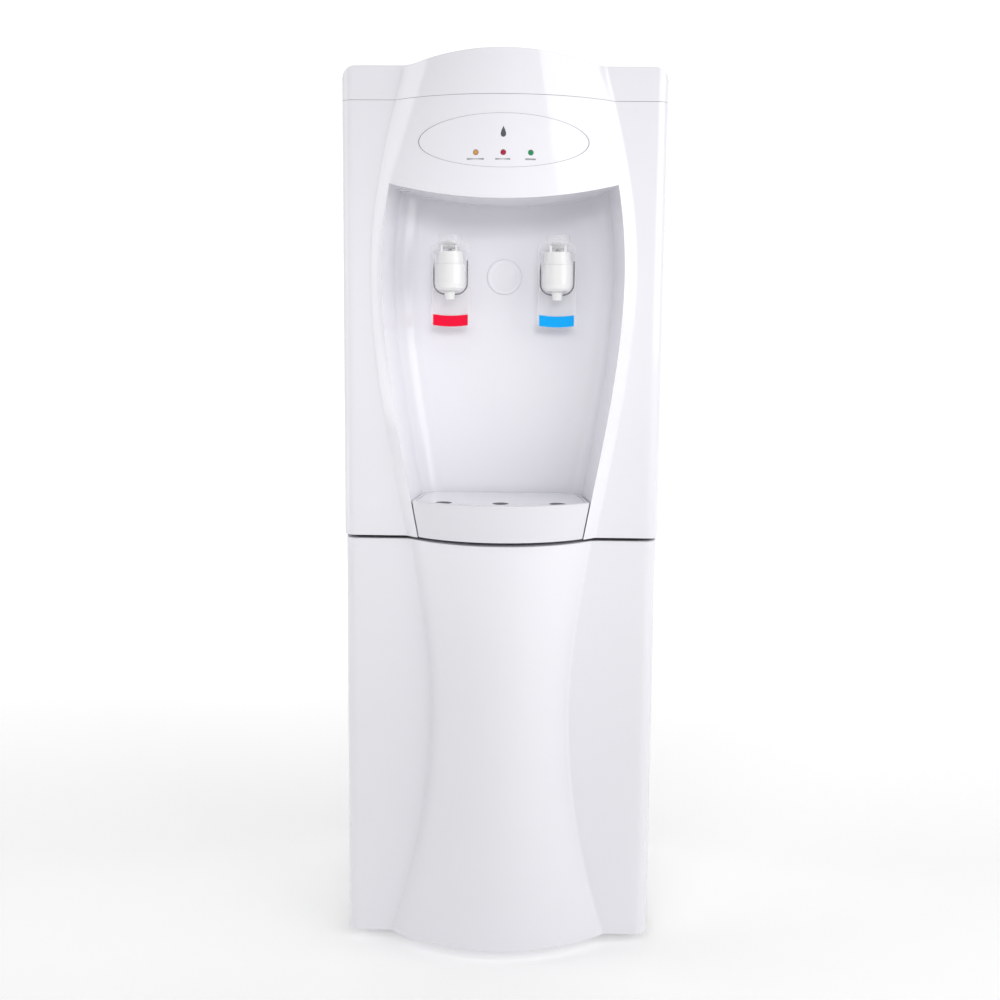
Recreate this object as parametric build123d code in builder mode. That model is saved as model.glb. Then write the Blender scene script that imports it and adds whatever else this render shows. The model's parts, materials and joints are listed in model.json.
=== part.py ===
"""Floor-standing hot and cold water dispenser with a storage cabinet.

Millimetres. +Z is up, the front faces -Y and +X is on the right seen from the front.
The origin is on the floor, at the middle of the bounding box.
"""
from build123d import *
import os
from math import cos, radians, sin, sqrt

os.makedirs("parts", exist_ok=True)

# ---- driving dimensions -------------------------------------------------------------
WIDTH = 310.0            # across the case
EAR_Y = -128.0           # the flat front, either side of the bulge
BULGE = 42.0             # how far the bulge stands out in front of the flat front
CASE_FRONT_Y = -100.5    # front edge of the steel side panels
CASE_BACK_Y = 140.0      # outer face of the rear covers
BACK_Y = 170.0           # rearmost point of the condenser
FOOT_HEIGHT = 11.7
DOOR_BOTTOM = 12.0
DOOR_TOP = 421.9
PANEL_BOTTOM = 425.0
PANEL_TOP = 840.75
COVER_BOTTOM = 841.05
EAR_TOP = 872.6
DOME_TOP = 882.0
RING_TOP = 884.0         # flat ring on the top cover that carries the bottle collar
DOOR_INSET = 1.6         # the door is this much narrower than the case on each side

WALL = 2.6               # moulded casing wall
STEEL = 1.2              # folded steel sheet
CORNER_R = 12.5          # vertical front corners
SHOULDER_R = 14.0        # outer top corners, seen from the front

FRAME_BAND = 11.8        # from the crease of the bulge to the niche
NICHE_BACK_Y = -62.0
NICHE_CORNER_R = 24.0
NICHE_TAPER = 9.0        # each side wall leans in by this much towards the back
NICHE_TOP = 763.6        # lip at the corners
NICHE_TOP_HALF = 109.0   # half the width between those corners
LIP_MIDDLE = 748.0       # lip at the middle
NICHE_FLOOR = 429.0

TRAY_TOP = 461.5
TRAY_GAP = 1.0
TRAY_BACK_Y = -66.0

TAP_X = 52.6             # each tap from the middle
TAP_Y = -104.0           # vertical axis of a tap
TAP_PIPE_Z = 680.0
STEM_LIFT_ARM = 8.0      # from the lever pivot to the stem
LEVER_PIVOT_Z = 705.5
TAP_SIDES = {"hot": -TAP_X, "cold": TAP_X}

WELL_Y = 36.0            # axis of the bottle well and of both tanks
WELL_R = 88.0

HINGE_X = 147.0
HINGE_Y = -110.0
HINGE_PIN_R = 2.0

HALF = WIDTH / 2
FRONT_Y = EAR_Y - BULGE
SHEET_BACK_Y = CASE_BACK_Y - STEEL - 0.2     # rear edge of the side panels
INSIDE_BACK_Y = SHEET_BACK_Y - STEEL - 0.2   # rearmost y inside the side panels' flanges


# ---- shared shapes ------------------------------------------------------------------
def half_width_of_bulge(z):
    """Half the width of the bulge where it meets the flat front, at height z."""
    if z > DOOR_TOP + 1:
        d = abs(z - 680.0)
        quadratic, cubic = (1.22e-3, 1.7e-6) if z > 680.0 else (9.0e-4, 1.43e-6)
        return 127.6 - quadratic * d**2 + cubic * d**3
    d = abs(z - 248.0)
    quadratic, cubic = (9.5e-4, 1.67e-6) if z > 248.0 else (7.3e-4, 0.0)
    return 68.8 + quadratic * d**2 - cubic * d**3


def bulge_arc(z):
    """Centre (y) and radius of the bulge's plan arc at height z."""
    half = half_width_of_bulge(z)
    radius = (half**2 + BULGE**2) / (2 * BULGE)
    return FRONT_Y + radius, radius


def levels(low, high, count):
    return [low + (high - low) * i / count for i in range(count + 1)]


def bulge_solid(low, high, inset=0.0, root=6.0, count=5):
    """The bulge between two heights, closed a little behind the flat front."""
    back_y = EAR_Y + root
    with BuildPart() as bulge:
        for z in levels(low, high, count):
            centre_y, radius = bulge_arc(z)
            radius -= inset
            x = sqrt(radius**2 - (centre_y - back_y) ** 2)
            with BuildSketch(Plane.XY.offset(z)):
                with BuildLine():
                    ThreePointArc((-x, back_y), (0, centre_y - radius), (x, back_y))
                    Line((x, back_y), (-x, back_y))
                make_face()
        loft()
    return bulge.part


def niche_half_width(z):
    return half_width_of_bulge(z) - FRAME_BAND


def niche_solid(low, high, grow=0.0, count=6):
    """The space of the niche, from in front of the bulge to its back wall."""
    turn_y = EAR_Y - 8.0
    back_y = NICHE_BACK_Y + grow
    with BuildPart() as niche:
        for z in levels(low, high, count):
            x = niche_half_width(z) + grow
            with BuildSketch(Plane.XY.offset(z)):
                with BuildLine():
                    Polyline(
                        (-x, FRONT_Y - 6), (-x, turn_y), (-x + NICHE_TAPER, back_y),
                        (x - NICHE_TAPER, back_y), (x, turn_y), (x, FRONT_Y - 6), close=True,
                    )
                make_face()
                fillet(vertices().group_by(Axis.Y)[-1], NICHE_CORNER_R + grow)
        loft()
    return niche.part


def under_lip(raise_by=0.0):
    """Everything below the curved lip of the niche, as a block."""
    corner_z = NICHE_TOP + raise_by
    with BuildPart() as block:
        with BuildSketch(Plane.XZ.offset(200)):
            with BuildLine():
                arc = ThreePointArc(
                    (-NICHE_TOP_HALF, corner_z), (0, LIP_MIDDLE + raise_by), (NICHE_TOP_HALF, corner_z)
                )
                left = Line(arc @ 0, (arc @ 0) - (arc % 0) * 26)
                right = Line(arc @ 1, (arc @ 1) + (arc % 1) * 26)
                low_right = (right @ 1).X, 400
                low_left = (left @ 1).X, 400
                Polyline(right @ 1, low_right, low_left, left @ 1)
            make_face()
        extrude(amount=-300)
    return block.part


def case_block(low, high, y0, y1, half=HALF, corner=CORNER_R):
    """A block as wide as the case, with its two front vertical edges rounded."""
    with BuildPart() as block:
        with BuildSketch(Plane.XY.offset(low)):
            with Locations((0, (y0 + y1) / 2)):
                Rectangle(2 * half, y1 - y0)
            fillet(vertices().group_by(Axis.Y)[0], corner)
        extrude(amount=high - low)
    return block.part


def box_between(low, high):
    """A plain block between two corners."""
    size = [b - a for a, b in zip(low, high)]
    middle = [(a + b) / 2 for a, b in zip(low, high)]
    with BuildPart() as block:
        with Locations(Location(tuple(middle))):
            Box(*size)
    return block.part


def bar(start, direction, radius, length):
    """A round bar that starts at a point and runs along a direction."""
    with BuildPart() as rod:
        with BuildSketch(Plane(origin=start, z_dir=direction)):
            Circle(radius)
        extrude(amount=length)
    return rod.part


def turned(points, x=0.0, y=WELL_Y):
    """A solid turned about a vertical axis, from a closed (radius, z) outline."""
    with BuildPart() as solid:
        with BuildSketch(Plane.XZ.offset(-y)):
            with BuildLine():
                Polyline(*[(x + r, z) for r, z in points], close=True)
            make_face()
        revolve(axis=Axis((x, y, 0), (0, 0, 1)))
    return solid.part


def pipe(points, bend_radius, radius):
    """A round tube along straight runs joined by arcs."""
    with BuildPart() as tube:
        with BuildLine() as path:
            FilletPolyline(*points, radius=bend_radius)
        with BuildSketch(Plane(origin=path.line @ 0, z_dir=path.line % 0)):
            Circle(radius)
        sweep()
    return tube.part


def coil(centre, radius, pitch, height, wire_radius):
    """A helical spring or tube coil that starts at its lower end."""
    with BuildPart() as spring:
        with BuildLine() as path:
            Helix(pitch=pitch, height=height, radius=radius, center=centre)
        with BuildSketch(Plane(origin=path.line @ 0, z_dir=path.line % 0)):
            Circle(wire_radius)
        sweep(is_frenet=True)
    return spring.part


def save(part, name):
    part.label = name
    export_step(part, f"parts/{name}.step")


# ---- indicator window and lamps ------------------------------------------------------
OVERLAY_Z = 799.8
OVERLAY_HALF = (79.6, 24.3)
OVERLAY_DEPTH = 0.6
LAMP_Z = 788.9
LAMP_R = 2.5
LAMP_PLACES = {"led_amber": -25.2, "led_red": 0.0, "led_green": 25.2}
BOARD_Y = -158.0


def ellipse_block(shrink=0.0):
    """The outline of the indicator window, running forward from the flat front."""
    with BuildPart() as block:
        with BuildSketch(Plane.XZ.offset(-EAR_Y + 2)):
            with Locations((0, OVERLAY_Z)):
                Ellipse(OVERLAY_HALF[0] - shrink, OVERLAY_HALF[1] - shrink)
        extrude(amount=60)
    return block.part


lamp_holes = [bar((x, BOARD_Y, LAMP_Z), (0, -1, 0), LAMP_R + 0.1, 20) for x in LAMP_PLACES.values()]
window_block = ellipse_block()
window_floor = bulge_solid(765, 830, OVERLAY_DEPTH)

with BuildPart() as indicator_overlay:
    add(bulge_solid(765, 830))
    add(ellipse_block(0.15), mode=Mode.INTERSECT)
    add(bulge_solid(765, 830, OVERLAY_DEPTH - 0.1), mode=Mode.SUBTRACT)
    add(lamp_holes, mode=Mode.SUBTRACT)
save(indicator_overlay.part, "indicator_overlay")

for name, x in LAMP_PLACES.items():
    centre_y, radius = bulge_arc(LAMP_Z)
    tip_y = centre_y - sqrt(radius**2 - x**2) + 0.1
    with BuildPart() as lamp:
        add(bar((x, BOARD_Y, LAMP_Z), (0, -1, 0), LAMP_R, BOARD_Y - tip_y))
        fillet(lamp.edges().filter_by(GeomType.CIRCLE).sort_by(Axis.Y)[0], 1.6)
    save(lamp.part, name)

with BuildPart() as indicator_board:
    with BuildSketch(Plane.XZ.offset(-BOARD_Y)):
        with Locations((0, LAMP_Z + 4)):
            RectangleRounded(84, 26, 2)
            with GridLocations(76, 18, 2, 2):
                Circle(1.6, mode=Mode.SUBTRACT)
    extrude(amount=-1.6)
save(indicator_board.part, "indicator_board")

# ---- upper front panel: skin, header and niche in one moulding -----------------------
front_skin = bulge_solid(PANEL_BOTTOM, PANEL_TOP)
tap_holes = [bar((x, NICHE_BACK_Y - 5, TAP_PIPE_Z), (0, 1, 0), 8.6, 12) for x in TAP_SIDES.values()]
PLUG_Z = 678.6
plug_hole = bar((0, NICHE_BACK_Y - 5, PLUG_Z), (0, 1, 0), 13.3, 12)

with BuildPart() as hollow_skin:
    add(case_block(PANEL_BOTTOM, PANEL_TOP, EAR_Y, CASE_FRONT_Y - 0.3))
    add(front_skin)
    add(
        case_block(
            PANEL_BOTTOM - 1, PANEL_TOP + 1, EAR_Y + WALL, CASE_FRONT_Y + 5, HALF - WALL, CORNER_R - WALL
        ),
        mode=Mode.SUBTRACT,
    )
    add(bulge_solid(PANEL_BOTTOM - 1, PANEL_TOP + 1, WALL, WALL + 4), mode=Mode.SUBTRACT)

with BuildPart() as case_space:
    add(front_skin)
    add(box_between((-HALF, EAR_Y + 0.5, PANEL_BOTTOM + 1.4), (HALF, NICHE_BACK_Y + 20, PANEL_TOP)))

with BuildPart() as niche_walls:
    add(niche_solid(PANEL_BOTTOM, 775, WALL))
    add(under_lip(WALL), mode=Mode.INTERSECT)
    add(case_space.part, mode=Mode.INTERSECT)

with BuildPart() as niche_space:
    add(niche_solid(PANEL_BOTTOM - 1, 775))
    add(under_lip(), mode=Mode.INTERSECT)
    add(
        box_between((-HALF, EAR_Y + 6, PANEL_BOTTOM - 5), (HALF, NICHE_BACK_Y + 20, NICHE_FLOOR)),
        mode=Mode.SUBTRACT,
    )

with BuildPart() as front_panel:
    add(hollow_skin.part)
    add(niche_walls.part)
    add(niche_space.part, mode=Mode.SUBTRACT)
    add(window_block - window_floor, mode=Mode.SUBTRACT)
    add(lamp_holes + tap_holes + [plug_hole], mode=Mode.SUBTRACT)
save(front_panel.part, "front_panel")

with BuildPart() as blanking_plug:
    add(bar((0, NICHE_BACK_Y, PLUG_Z), (0, -1, 0), 17.4, 2.6))
    fillet(blanking_plug.edges().sort_by(Axis.Y)[0], 1.0)
    add(bar((0, NICHE_BACK_Y - 2.6, PLUG_Z), (0, 1, 0), 15.2, 0.5), mode=Mode.SUBTRACT)
    add(bar((0, NICHE_BACK_Y, PLUG_Z), (0, 1, 0), 13.1, 4.0))
    add(bar((0, NICHE_BACK_Y, PLUG_Z), (0, 1, 0), 11.3, 5.0), mode=Mode.SUBTRACT)
save(blanking_plug.part, "blanking_plug")


# ---- top cover with the bottle well ---------------------------------------------------
def cover_profile_block(inset):
    """Everything under the top surface of the cover: flat ears and a low vault."""
    with BuildPart() as block:
        with BuildSketch(Plane.XZ.offset(-CASE_BACK_Y)):
            with Locations((0, COVER_BOTTOM - 1)):
                Rectangle(
                    WIDTH - 2 * inset, EAR_TOP - inset - COVER_BOTTOM + 1, align=(Align.CENTER, Align.MIN)
                )
            fillet(vertices().group_by(Axis.Y)[-1], SHOULDER_R - inset)
            with BuildLine():
                edge_z = EAR_TOP - inset - 1.6
                vault = ThreePointArc((-92, edge_z), (0, DOME_TOP - inset), (92, edge_z))
                Line(vault @ 1, vault @ 0)
            make_face()
        extrude(amount=CASE_BACK_Y - FRONT_Y + 5)
    return block.part


with BuildPart() as cover_inside:
    add(case_block(COVER_BOTTOM - 1, DOME_TOP + 5, EAR_Y + WALL, CASE_BACK_Y - WALL, HALF - WALL, CORNER_R - WALL))
    add(bulge_solid(COVER_BOTTOM - 1, DOME_TOP + 5, WALL, WALL + 4))
    add(cover_profile_block(WALL), mode=Mode.INTERSECT)

with BuildPart() as top_cover:
    add(case_block(COVER_BOTTOM, DOME_TOP + 5, EAR_Y, CASE_BACK_Y))
    add(bulge_solid(COVER_BOTTOM, DOME_TOP + 5))
    add(cover_profile_block(0.0), mode=Mode.INTERSECT)
    add(cover_inside.part, mode=Mode.SUBTRACT)
    with BuildSketch(Plane.XY.offset(EAR_TOP - WALL)):
        with Locations((0, WELL_Y)):
            Circle(WELL_R + 13)
    extrude(amount=RING_TOP - EAR_TOP + WALL)
    with BuildSketch(Plane.XY.offset(EAR_TOP - WALL - 1)):
        with Locations((0, WELL_Y)):
            Circle(WELL_R + 13 - WALL)
            Circle(WELL_R + WALL, mode=Mode.SUBTRACT)
    extrude(amount=RING_TOP - EAR_TOP + 1, mode=Mode.SUBTRACT)
    with BuildSketch(Plane.XY.offset(COVER_BOTTOM)):
        with Locations((0, WELL_Y)):
            Circle(WELL_R)
    extrude(amount=60, mode=Mode.SUBTRACT)
save(top_cover.part, "top_cover")

# ---- bottle collar and its feed spike -------------------------------------------------
COLLAR_OUTLET_R = 12.5
collar_outline = [
    (99.5, RING_TOP + 0.2), (99.5, 886.6), (97.5, 888.4), (84, 888.4), (81.5, 884), (36, 846), (32.5, 840),
    (32.5, 806), (10.5, 806), (10.5, 752), (COLLAR_OUTLET_R, 752), (COLLAR_OUTLET_R, 803.4),
    (35.1, 803.4), (35.1, 841), (38, 844.6), (86.4, 881), (86.4, RING_TOP + 0.2),
]
with BuildPart() as bottle_collar:
    add(turned(collar_outline))
save(bottle_collar.part, "bottle_collar")

spike_outline = [
    (7, 806.3), (30, 806.3), (30, 809), (12, 809), (9.6, 813), (8.4, 850), (5, 857), (0, 860), (0, 856.5),
    (4, 853), (6.2, 848),
]
with BuildPart() as feed_spike:
    add(turned(spike_outline))
    for angle in (0, 90):
        side = (cos(radians(angle)), sin(radians(angle)), 0)
        start = (-14 * side[0], WELL_Y - 14 * side[1], 842)
        add(bar(start, side, 2.4, 28), mode=Mode.SUBTRACT)
save(feed_spike.part, "feed_spike")


# ---- drip tray and its cover plate ------------------------------------------------------
def tray_block(low, high, wall=0.0, front_wall=0.0, back_y=TRAY_BACK_Y):
    """The tray's outline, which follows the bulge in front and the niche behind."""
    with BuildPart() as block:
        for z in levels(low, high, 2):
            half = niche_half_width(z) - TRAY_GAP - wall
            centre_y, radius = bulge_arc(z)
            radius -= front_wall
            side_y = centre_y - sqrt(radius**2 - half**2)
            back_x = half - NICHE_TAPER
            with BuildSketch(Plane.XY.offset(z)):
                with BuildLine():
                    ThreePointArc((-half, side_y), (0, centre_y - radius), (half, side_y))
                    Polyline((half, side_y), (back_x, back_y), (-back_x, back_y), (-half, side_y))
                make_face()
                fillet(vertices().group_by(Axis.Y)[-1], NICHE_CORNER_R - wall)
        loft(ruled=True)
    return block.part


PLATE_TOP = TRAY_TOP - 0.6
PLATE_THICK = 2.5
with BuildPart() as drip_tray:
    add(tray_block(PANEL_BOTTOM + 0.4, TRAY_TOP))
    add(
        box_between((-HALF, EAR_Y + 2, PANEL_BOTTOM - 5), (HALF, NICHE_BACK_Y, NICHE_FLOOR + 0.6)),
        mode=Mode.SUBTRACT,
    )
    add(
        tray_block(NICHE_FLOOR + 3.2, PLATE_TOP - PLATE_THICK, 5.5, 5.5, TRAY_BACK_Y - 5.5),
        mode=Mode.SUBTRACT,
    )
    add(
        tray_block(PLATE_TOP - PLATE_THICK, TRAY_TOP + 1, 3.2, 3.2, TRAY_BACK_Y - 3.2),
        mode=Mode.SUBTRACT,
    )
save(drip_tray.part, "drip_tray")

DRAIN_HOLES = [(-55.0, -146.5), (0.0, -149.0), (55.0, -146.5)]
with BuildPart() as drip_plate:
    add(tray_block(PLATE_TOP - PLATE_THICK + 0.1, PLATE_TOP, 3.7, 3.7, TRAY_BACK_Y - 3.7))
    with Locations(*[(x, y, PLATE_TOP) for x, y in DRAIN_HOLES]):
        CounterSinkHole(5.5, 8.0, counter_sink_angle=100)
save(drip_plate.part, "drip_plate")


# ---- taps -----------------------------------------------------------------------------
BONNET_BOTTOM = 689.9
BONNET_TOP = 702.0
SPOUT_TIP = 655.7
SEAT_Z = 668.0
LEVER_TOP = 712.0
CROWN_TOP = 718.5
PADDLE_BOTTOM = 628.4
SLOT_BOTTOM = 661.0
PLATE_Y = TAP_Y + 15.2      # front face of the lever's plate
PLATE_T = 3.0
TEE_Z = 709.5
PIVOT_Y = TAP_Y - STEM_LIFT_ARM


def lever_plate(x):
    """The flat part of a lever: the paddle and the two arms either side of the tap."""
    sag = 1.6
    with BuildPart() as plate:
        with BuildSketch(Plane.XZ.offset(-PLATE_Y)):
            with BuildLine():
                low_left = (x - 19, PADDLE_BOTTOM + sag)
                low_right = (x + 19, PADDLE_BOTTOM + sag)
                Polyline(low_left, (x - 19, LEVER_TOP), (x + 19, LEVER_TOP), low_right)
                ThreePointArc(low_right, (x, PADDLE_BOTTOM), low_left)
            make_face()
            fillet(vertices().group_by(Axis.Y)[-1], 7)
        extrude(amount=-PLATE_T)
        with BuildSketch(Plane.XZ.offset(-PLATE_Y)):
            with Locations((x, (SLOT_BOTTOM + 703) / 2)):
                Rectangle(33, 703 - SLOT_BOTTOM)
            fillet(vertices().group_by(Axis.Y)[0], 11)
        extrude(amount=-PLATE_T, mode=Mode.SUBTRACT)
    return plate.part


def make_tap(side, x):
    with BuildPart() as body:
        add(
            turned(
                [
                    (3.2, SPOUT_TIP), (4.6, SPOUT_TIP), (5.4, 664), (11.5, 664.6), (14.0, 667), (14.8, 671),
                    (14.8, BONNET_BOTTOM - 0.1), (10, BONNET_BOTTOM - 0.1), (10, SEAT_Z), (3.2, SEAT_Z),
                ],
                x, TAP_Y,
            )
        )
        add(bar((x, TAP_Y + 12, TAP_PIPE_Z), (0, 1, 0), 8, 43.8))
        add(bar((x, NICHE_BACK_Y - 0.05, TAP_PIPE_Z), (0, -1, 0), 13.5, 4.4))
        add(bar((x, TAP_Y + 54, TAP_PIPE_Z), (0, 0, -1), 4, 20))
        add(bar((x, TAP_Y + 9, TAP_PIPE_Z), (0, 1, 0), 3, 45), mode=Mode.SUBTRACT)
    save(body.part, f"{side}_tap_body")

    with BuildPart() as bonnet:
        add(
            turned(
                [
                    (7.5, BONNET_BOTTOM), (14.4, BONNET_BOTTOM), (13.6, 693), (12.6, BONNET_TOP),
                    (2.1, BONNET_TOP), (2.1, 699), (7.5, 699),
                ],
                x, TAP_Y,
            )
        )
        for lug_x in (x - 8.2, x + 5.8):
            add(box_between((lug_x, PIVOT_Y - 2.6, BONNET_TOP - 2), (lug_x + 2.4, PIVOT_Y + 2.6, LEVER_PIVOT_Z)))
            add(bar((lug_x, PIVOT_Y, LEVER_PIVOT_Z), (1, 0, 0), 2.6, 2.4))
        add(bar((x - 12, PIVOT_Y, LEVER_PIVOT_Z), (1, 0, 0), 1.25, 24), mode=Mode.SUBTRACT)
    save(bonnet.part, f"{side}_tap_bonnet")

    with BuildPart() as stem:
        add(turned([(0, SEAT_Z + 0.2), (6.5, SEAT_Z + 0.2), (6.5, 671), (2, 672.5), (2, 711), (0, 711)], x, TAP_Y))
        add(bar((x - 6, TAP_Y, TEE_Z), (1, 0, 0), 1.5, 12))
    save(stem.part, f"{side}_tap_stem")

    save(coil((x, TAP_Y, 673.4), 4.6, 4.8, 24.5, 0.5), f"{side}_tap_spring")

    with BuildPart() as lever:
        add(bar((x, TAP_Y, 703.2), (0, 0, 1), 11.5, CROWN_TOP - 703.2))
        fillet(lever.edges().sort_by(Axis.Z)[-1], 2.0)
        add(box_between((x - 9, TAP_Y + 4, 706), (x + 9, PLATE_Y + 1, LEVER_TOP - 0.5)))
        add(lever_plate(x))
        for rib_x in (x - 19, x + 17.4):
            add(box_between((rib_x, PLATE_Y - 3.4, 631), (rib_x + 1.6, PLATE_Y + 1, 662)))
        add(box_between((x - 3.2, TAP_Y - 4.4, 703), (x + 3.2, TAP_Y + 6, 714.5)), mode=Mode.SUBTRACT)
        add(box_between((x - 7.5, TAP_Y - 3.4, TEE_Z - 1.9), (x + 7.5, TAP_Y + 3.2, TEE_Z + 1.9)),
            mode=Mode.SUBTRACT)
        for notch_x in (x - 12.5, x + 5.2):
            add(box_between((notch_x, PIVOT_Y - 4.4, 703), (notch_x + 7.3, PIVOT_Y + 3.8, 709)),
                mode=Mode.SUBTRACT)
        add(bar((x - 12, PIVOT_Y, LEVER_PIVOT_Z), (1, 0, 0), 1.3, 24), mode=Mode.SUBTRACT)
    save(lever.part, f"{side}_tap_lever")

    with BuildPart() as band:
        with BuildSketch(Plane.XZ.offset(-PLATE_Y)):
            with BuildLine():
                low, high, half = 629.3, 640.0, 17.2    # bottom, top and half the width
                ThreePointArc((x - half, low + 1.4), (x, low), (x + half, low + 1.4))
                Line((x + half, low + 1.4), (x + half, high + 1.4))
                ThreePointArc((x + half, high + 1.4), (x, high), (x - half, high + 1.4))
                Line((x - half, high + 1.4), (x - half, low + 1.4))
            make_face()
        extrude(amount=0.8)
    save(band.part, f"{side}_band")


for tap_side, tap_x in TAP_SIDES.items():
    make_tap(tap_side, tap_x)

with BuildPart() as lever_pins:
    for x in TAP_SIDES.values():
        add(bar((x - 8.6, PIVOT_Y, LEVER_PIVOT_Z), (1, 0, 0), 1.25, 17.2))
save(lever_pins.part, "lever_pins")

with BuildPart() as tap_nuts:
    for x in TAP_SIDES.values():
        with BuildSketch(Plane.XZ.offset(-(NICHE_BACK_Y + WALL + 0.05))):
            with Locations((x, TAP_PIPE_Z)):
                RegularPolygon(12, 6, major_radius=False)
                Circle(8.05, mode=Mode.SUBTRACT)
        extrude(amount=-4.8)
save(tap_nuts.part, "tap_nuts")

# ---- door -----------------------------------------------------------------------------
DOOR_HALF = HALF - DOOR_INSET
DOOR_BACK_Y = -104.0
GRIP_LOW, GRIP_HIGH = 188.0, 268.0
with BuildPart() as door_panel:
    add(case_block(DOOR_BOTTOM, DOOR_TOP, EAR_Y, DOOR_BACK_Y, DOOR_HALF))
    add(bulge_solid(DOOR_BOTTOM, DOOR_TOP, count=7))
    add(
        case_block(
            DOOR_BOTTOM + WALL, DOOR_TOP - WALL, EAR_Y + WALL, DOOR_BACK_Y + 5, DOOR_HALF - WALL, CORNER_R - WALL
        ),
        mode=Mode.SUBTRACT,
    )
    add(bulge_solid(DOOR_BOTTOM + WALL, DOOR_TOP - WALL, WALL, WALL + 4, count=7), mode=Mode.SUBTRACT)
    for low in (DOOR_BOTTOM, DOOR_TOP - 18):
        add(box_between((HINGE_X - 7, HINGE_Y - 8, low), (DOOR_HALF - 1, DOOR_BACK_Y, low + 18)))
    add(bar((HINGE_X, HINGE_Y, DOOR_BOTTOM - 1), (0, 0, 1), HINGE_PIN_R + 0.05, 14), mode=Mode.SUBTRACT)
    add(bar((HINGE_X, HINGE_Y, DOOR_TOP + 1), (0, 0, -1), HINGE_PIN_R + 0.05, 14), mode=Mode.SUBTRACT)
    add(box_between((-DOOR_HALF + 1, DOOR_BACK_Y - 12.6, GRIP_LOW), (-138.4, DOOR_BACK_Y, GRIP_HIGH)))
    add(
        box_between((-DOOR_HALF - 1, DOOR_BACK_Y - 10, GRIP_LOW + WALL), (-141, DOOR_BACK_Y + 1, GRIP_HIGH - WALL)),
        mode=Mode.SUBTRACT,
    )
save(door_panel.part, "door_panel")

with BuildPart() as door_liner:
    with BuildSketch(Plane.XZ.offset(-DOOR_BACK_Y)):
        with Locations((0, (DOOR_BOTTOM + DOOR_TOP) / 2)):
            RectangleRounded(274, DOOR_TOP - DOOR_BOTTOM - 8, 6)
    extrude(amount=-1.4)
save(door_liner.part, "door_liner")

with BuildPart() as door_gasket:
    with BuildSketch(Plane.XZ.offset(-DOOR_BACK_Y - 1.4)):
        with Locations((0, (DOOR_BOTTOM + DOOR_TOP) / 2)):
            RectangleRounded(270, DOOR_TOP - DOOR_BOTTOM - 16, 8)
            RectangleRounded(252, DOOR_TOP - DOOR_BOTTOM - 34, 4, mode=Mode.SUBTRACT)
    extrude(amount=-1.8)
save(door_gasket.part, "door_gasket")

BRACKET_T = 2.0
with BuildPart() as hinge_bracket_lower:
    add(box_between((136, HINGE_Y - 6, FOOT_HEIGHT - BRACKET_T), (151.5, -60, FOOT_HEIGHT)))
    fillet(hinge_bracket_lower.edges().filter_by(Axis.Z).group_by(Axis.Y)[0], 4)
    add(bar((HINGE_X, HINGE_Y, FOOT_HEIGHT), (0, 0, 1), HINGE_PIN_R, 11))
save(hinge_bracket_lower.part, "hinge_bracket_lower")

with BuildPart() as hinge_bracket_upper:
    low, high = 422.6, 424.4
    add(box_between((136, HINGE_Y - 6, low), (151.5, CASE_FRONT_Y - 0.6, high)))
    fillet(hinge_bracket_upper.edges().filter_by(Axis.Z).group_by(Axis.Y)[0], 4)
    add(box_between((136, CASE_FRONT_Y - 0.6, low), (143.6, -38, high)))
    add(box_between((136, -54, high), (143.6, -38, PANEL_BOTTOM + 0.5)))
    add(bar((HINGE_X, HINGE_Y, low), (0, 0, -1), HINGE_PIN_R, 11))
save(hinge_bracket_upper.part, "hinge_bracket_upper")

# ---- storage cabinet --------------------------------------------------------------------
LINER_HALF = 130.0
LINER_LOW, LINER_HIGH = 32.0, 406.0
LINER_BACK_Y = 14.0
SHELF_Z = 218.0
with BuildPart() as cabinet_liner:
    add(box_between((-143.6, CASE_FRONT_Y, 14.5), (143.6, CASE_FRONT_Y + 2, 421.5)))
    add(box_between((-LINER_HALF, CASE_FRONT_Y + 1, LINER_LOW), (LINER_HALF, LINER_BACK_Y, LINER_HIGH)))
    add(
        box_between(
            (-LINER_HALF + 2, CASE_FRONT_Y - 1, LINER_LOW + 2), (LINER_HALF - 2, LINER_BACK_Y - 2, LINER_HIGH - 2)
        ),
        mode=Mode.SUBTRACT,
    )
    for x in (-LINER_HALF + 1, LINER_HALF - 9):
        add(box_between((x, -90, SHELF_Z - 6), (x + 8, LINER_BACK_Y - 1, SHELF_Z)))
save(cabinet_liner.part, "cabinet_liner")

with BuildPart() as cabinet_shelf:
    add(box_between((-LINER_HALF + 2.3, -90, SHELF_Z), (LINER_HALF - 2.3, LINER_BACK_Y - 2.3, SHELF_Z + 2.5)))
    fillet(cabinet_shelf.edges().filter_by(Axis.X).group_by(Axis.Y)[0], 1.0)
save(cabinet_shelf.part, "cabinet_shelf")

# ---- steel case -------------------------------------------------------------------------
FLANGE_X = 144.2
for name, sign in {"side_panel_left": -1, "side_panel_right": 1}.items():
    with BuildPart() as side_panel:
        with BuildSketch(Plane.XY.offset(DOOR_BOTTOM)):
            with BuildLine():
                Polyline(
                    (sign * FLANGE_X, CASE_FRONT_Y), (sign * HALF, CASE_FRONT_Y), (sign * HALF, SHEET_BACK_Y),
                    (sign * FLANGE_X, SHEET_BACK_Y), (sign * FLANGE_X, SHEET_BACK_Y - STEEL),
                    (sign * (HALF - STEEL), SHEET_BACK_Y - STEEL), (sign * (HALF - STEEL), CASE_FRONT_Y + STEEL),
                    (sign * FLANGE_X, CASE_FRONT_Y + STEEL), close=True,
                )
            make_face()
        extrude(amount=PANEL_TOP - DOOR_BOTTOM)
    SCREW_Z = (40, 290, 350, 600, 815)
    with BuildPart() as drilled:
        add(side_panel.part)
        for z in SCREW_Z:
            add(bar((sign * 148.5, SHEET_BACK_Y - 3, z), (0, 1, 0), 1.65, 6), mode=Mode.SUBTRACT)
    save(drilled.part, name)

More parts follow.
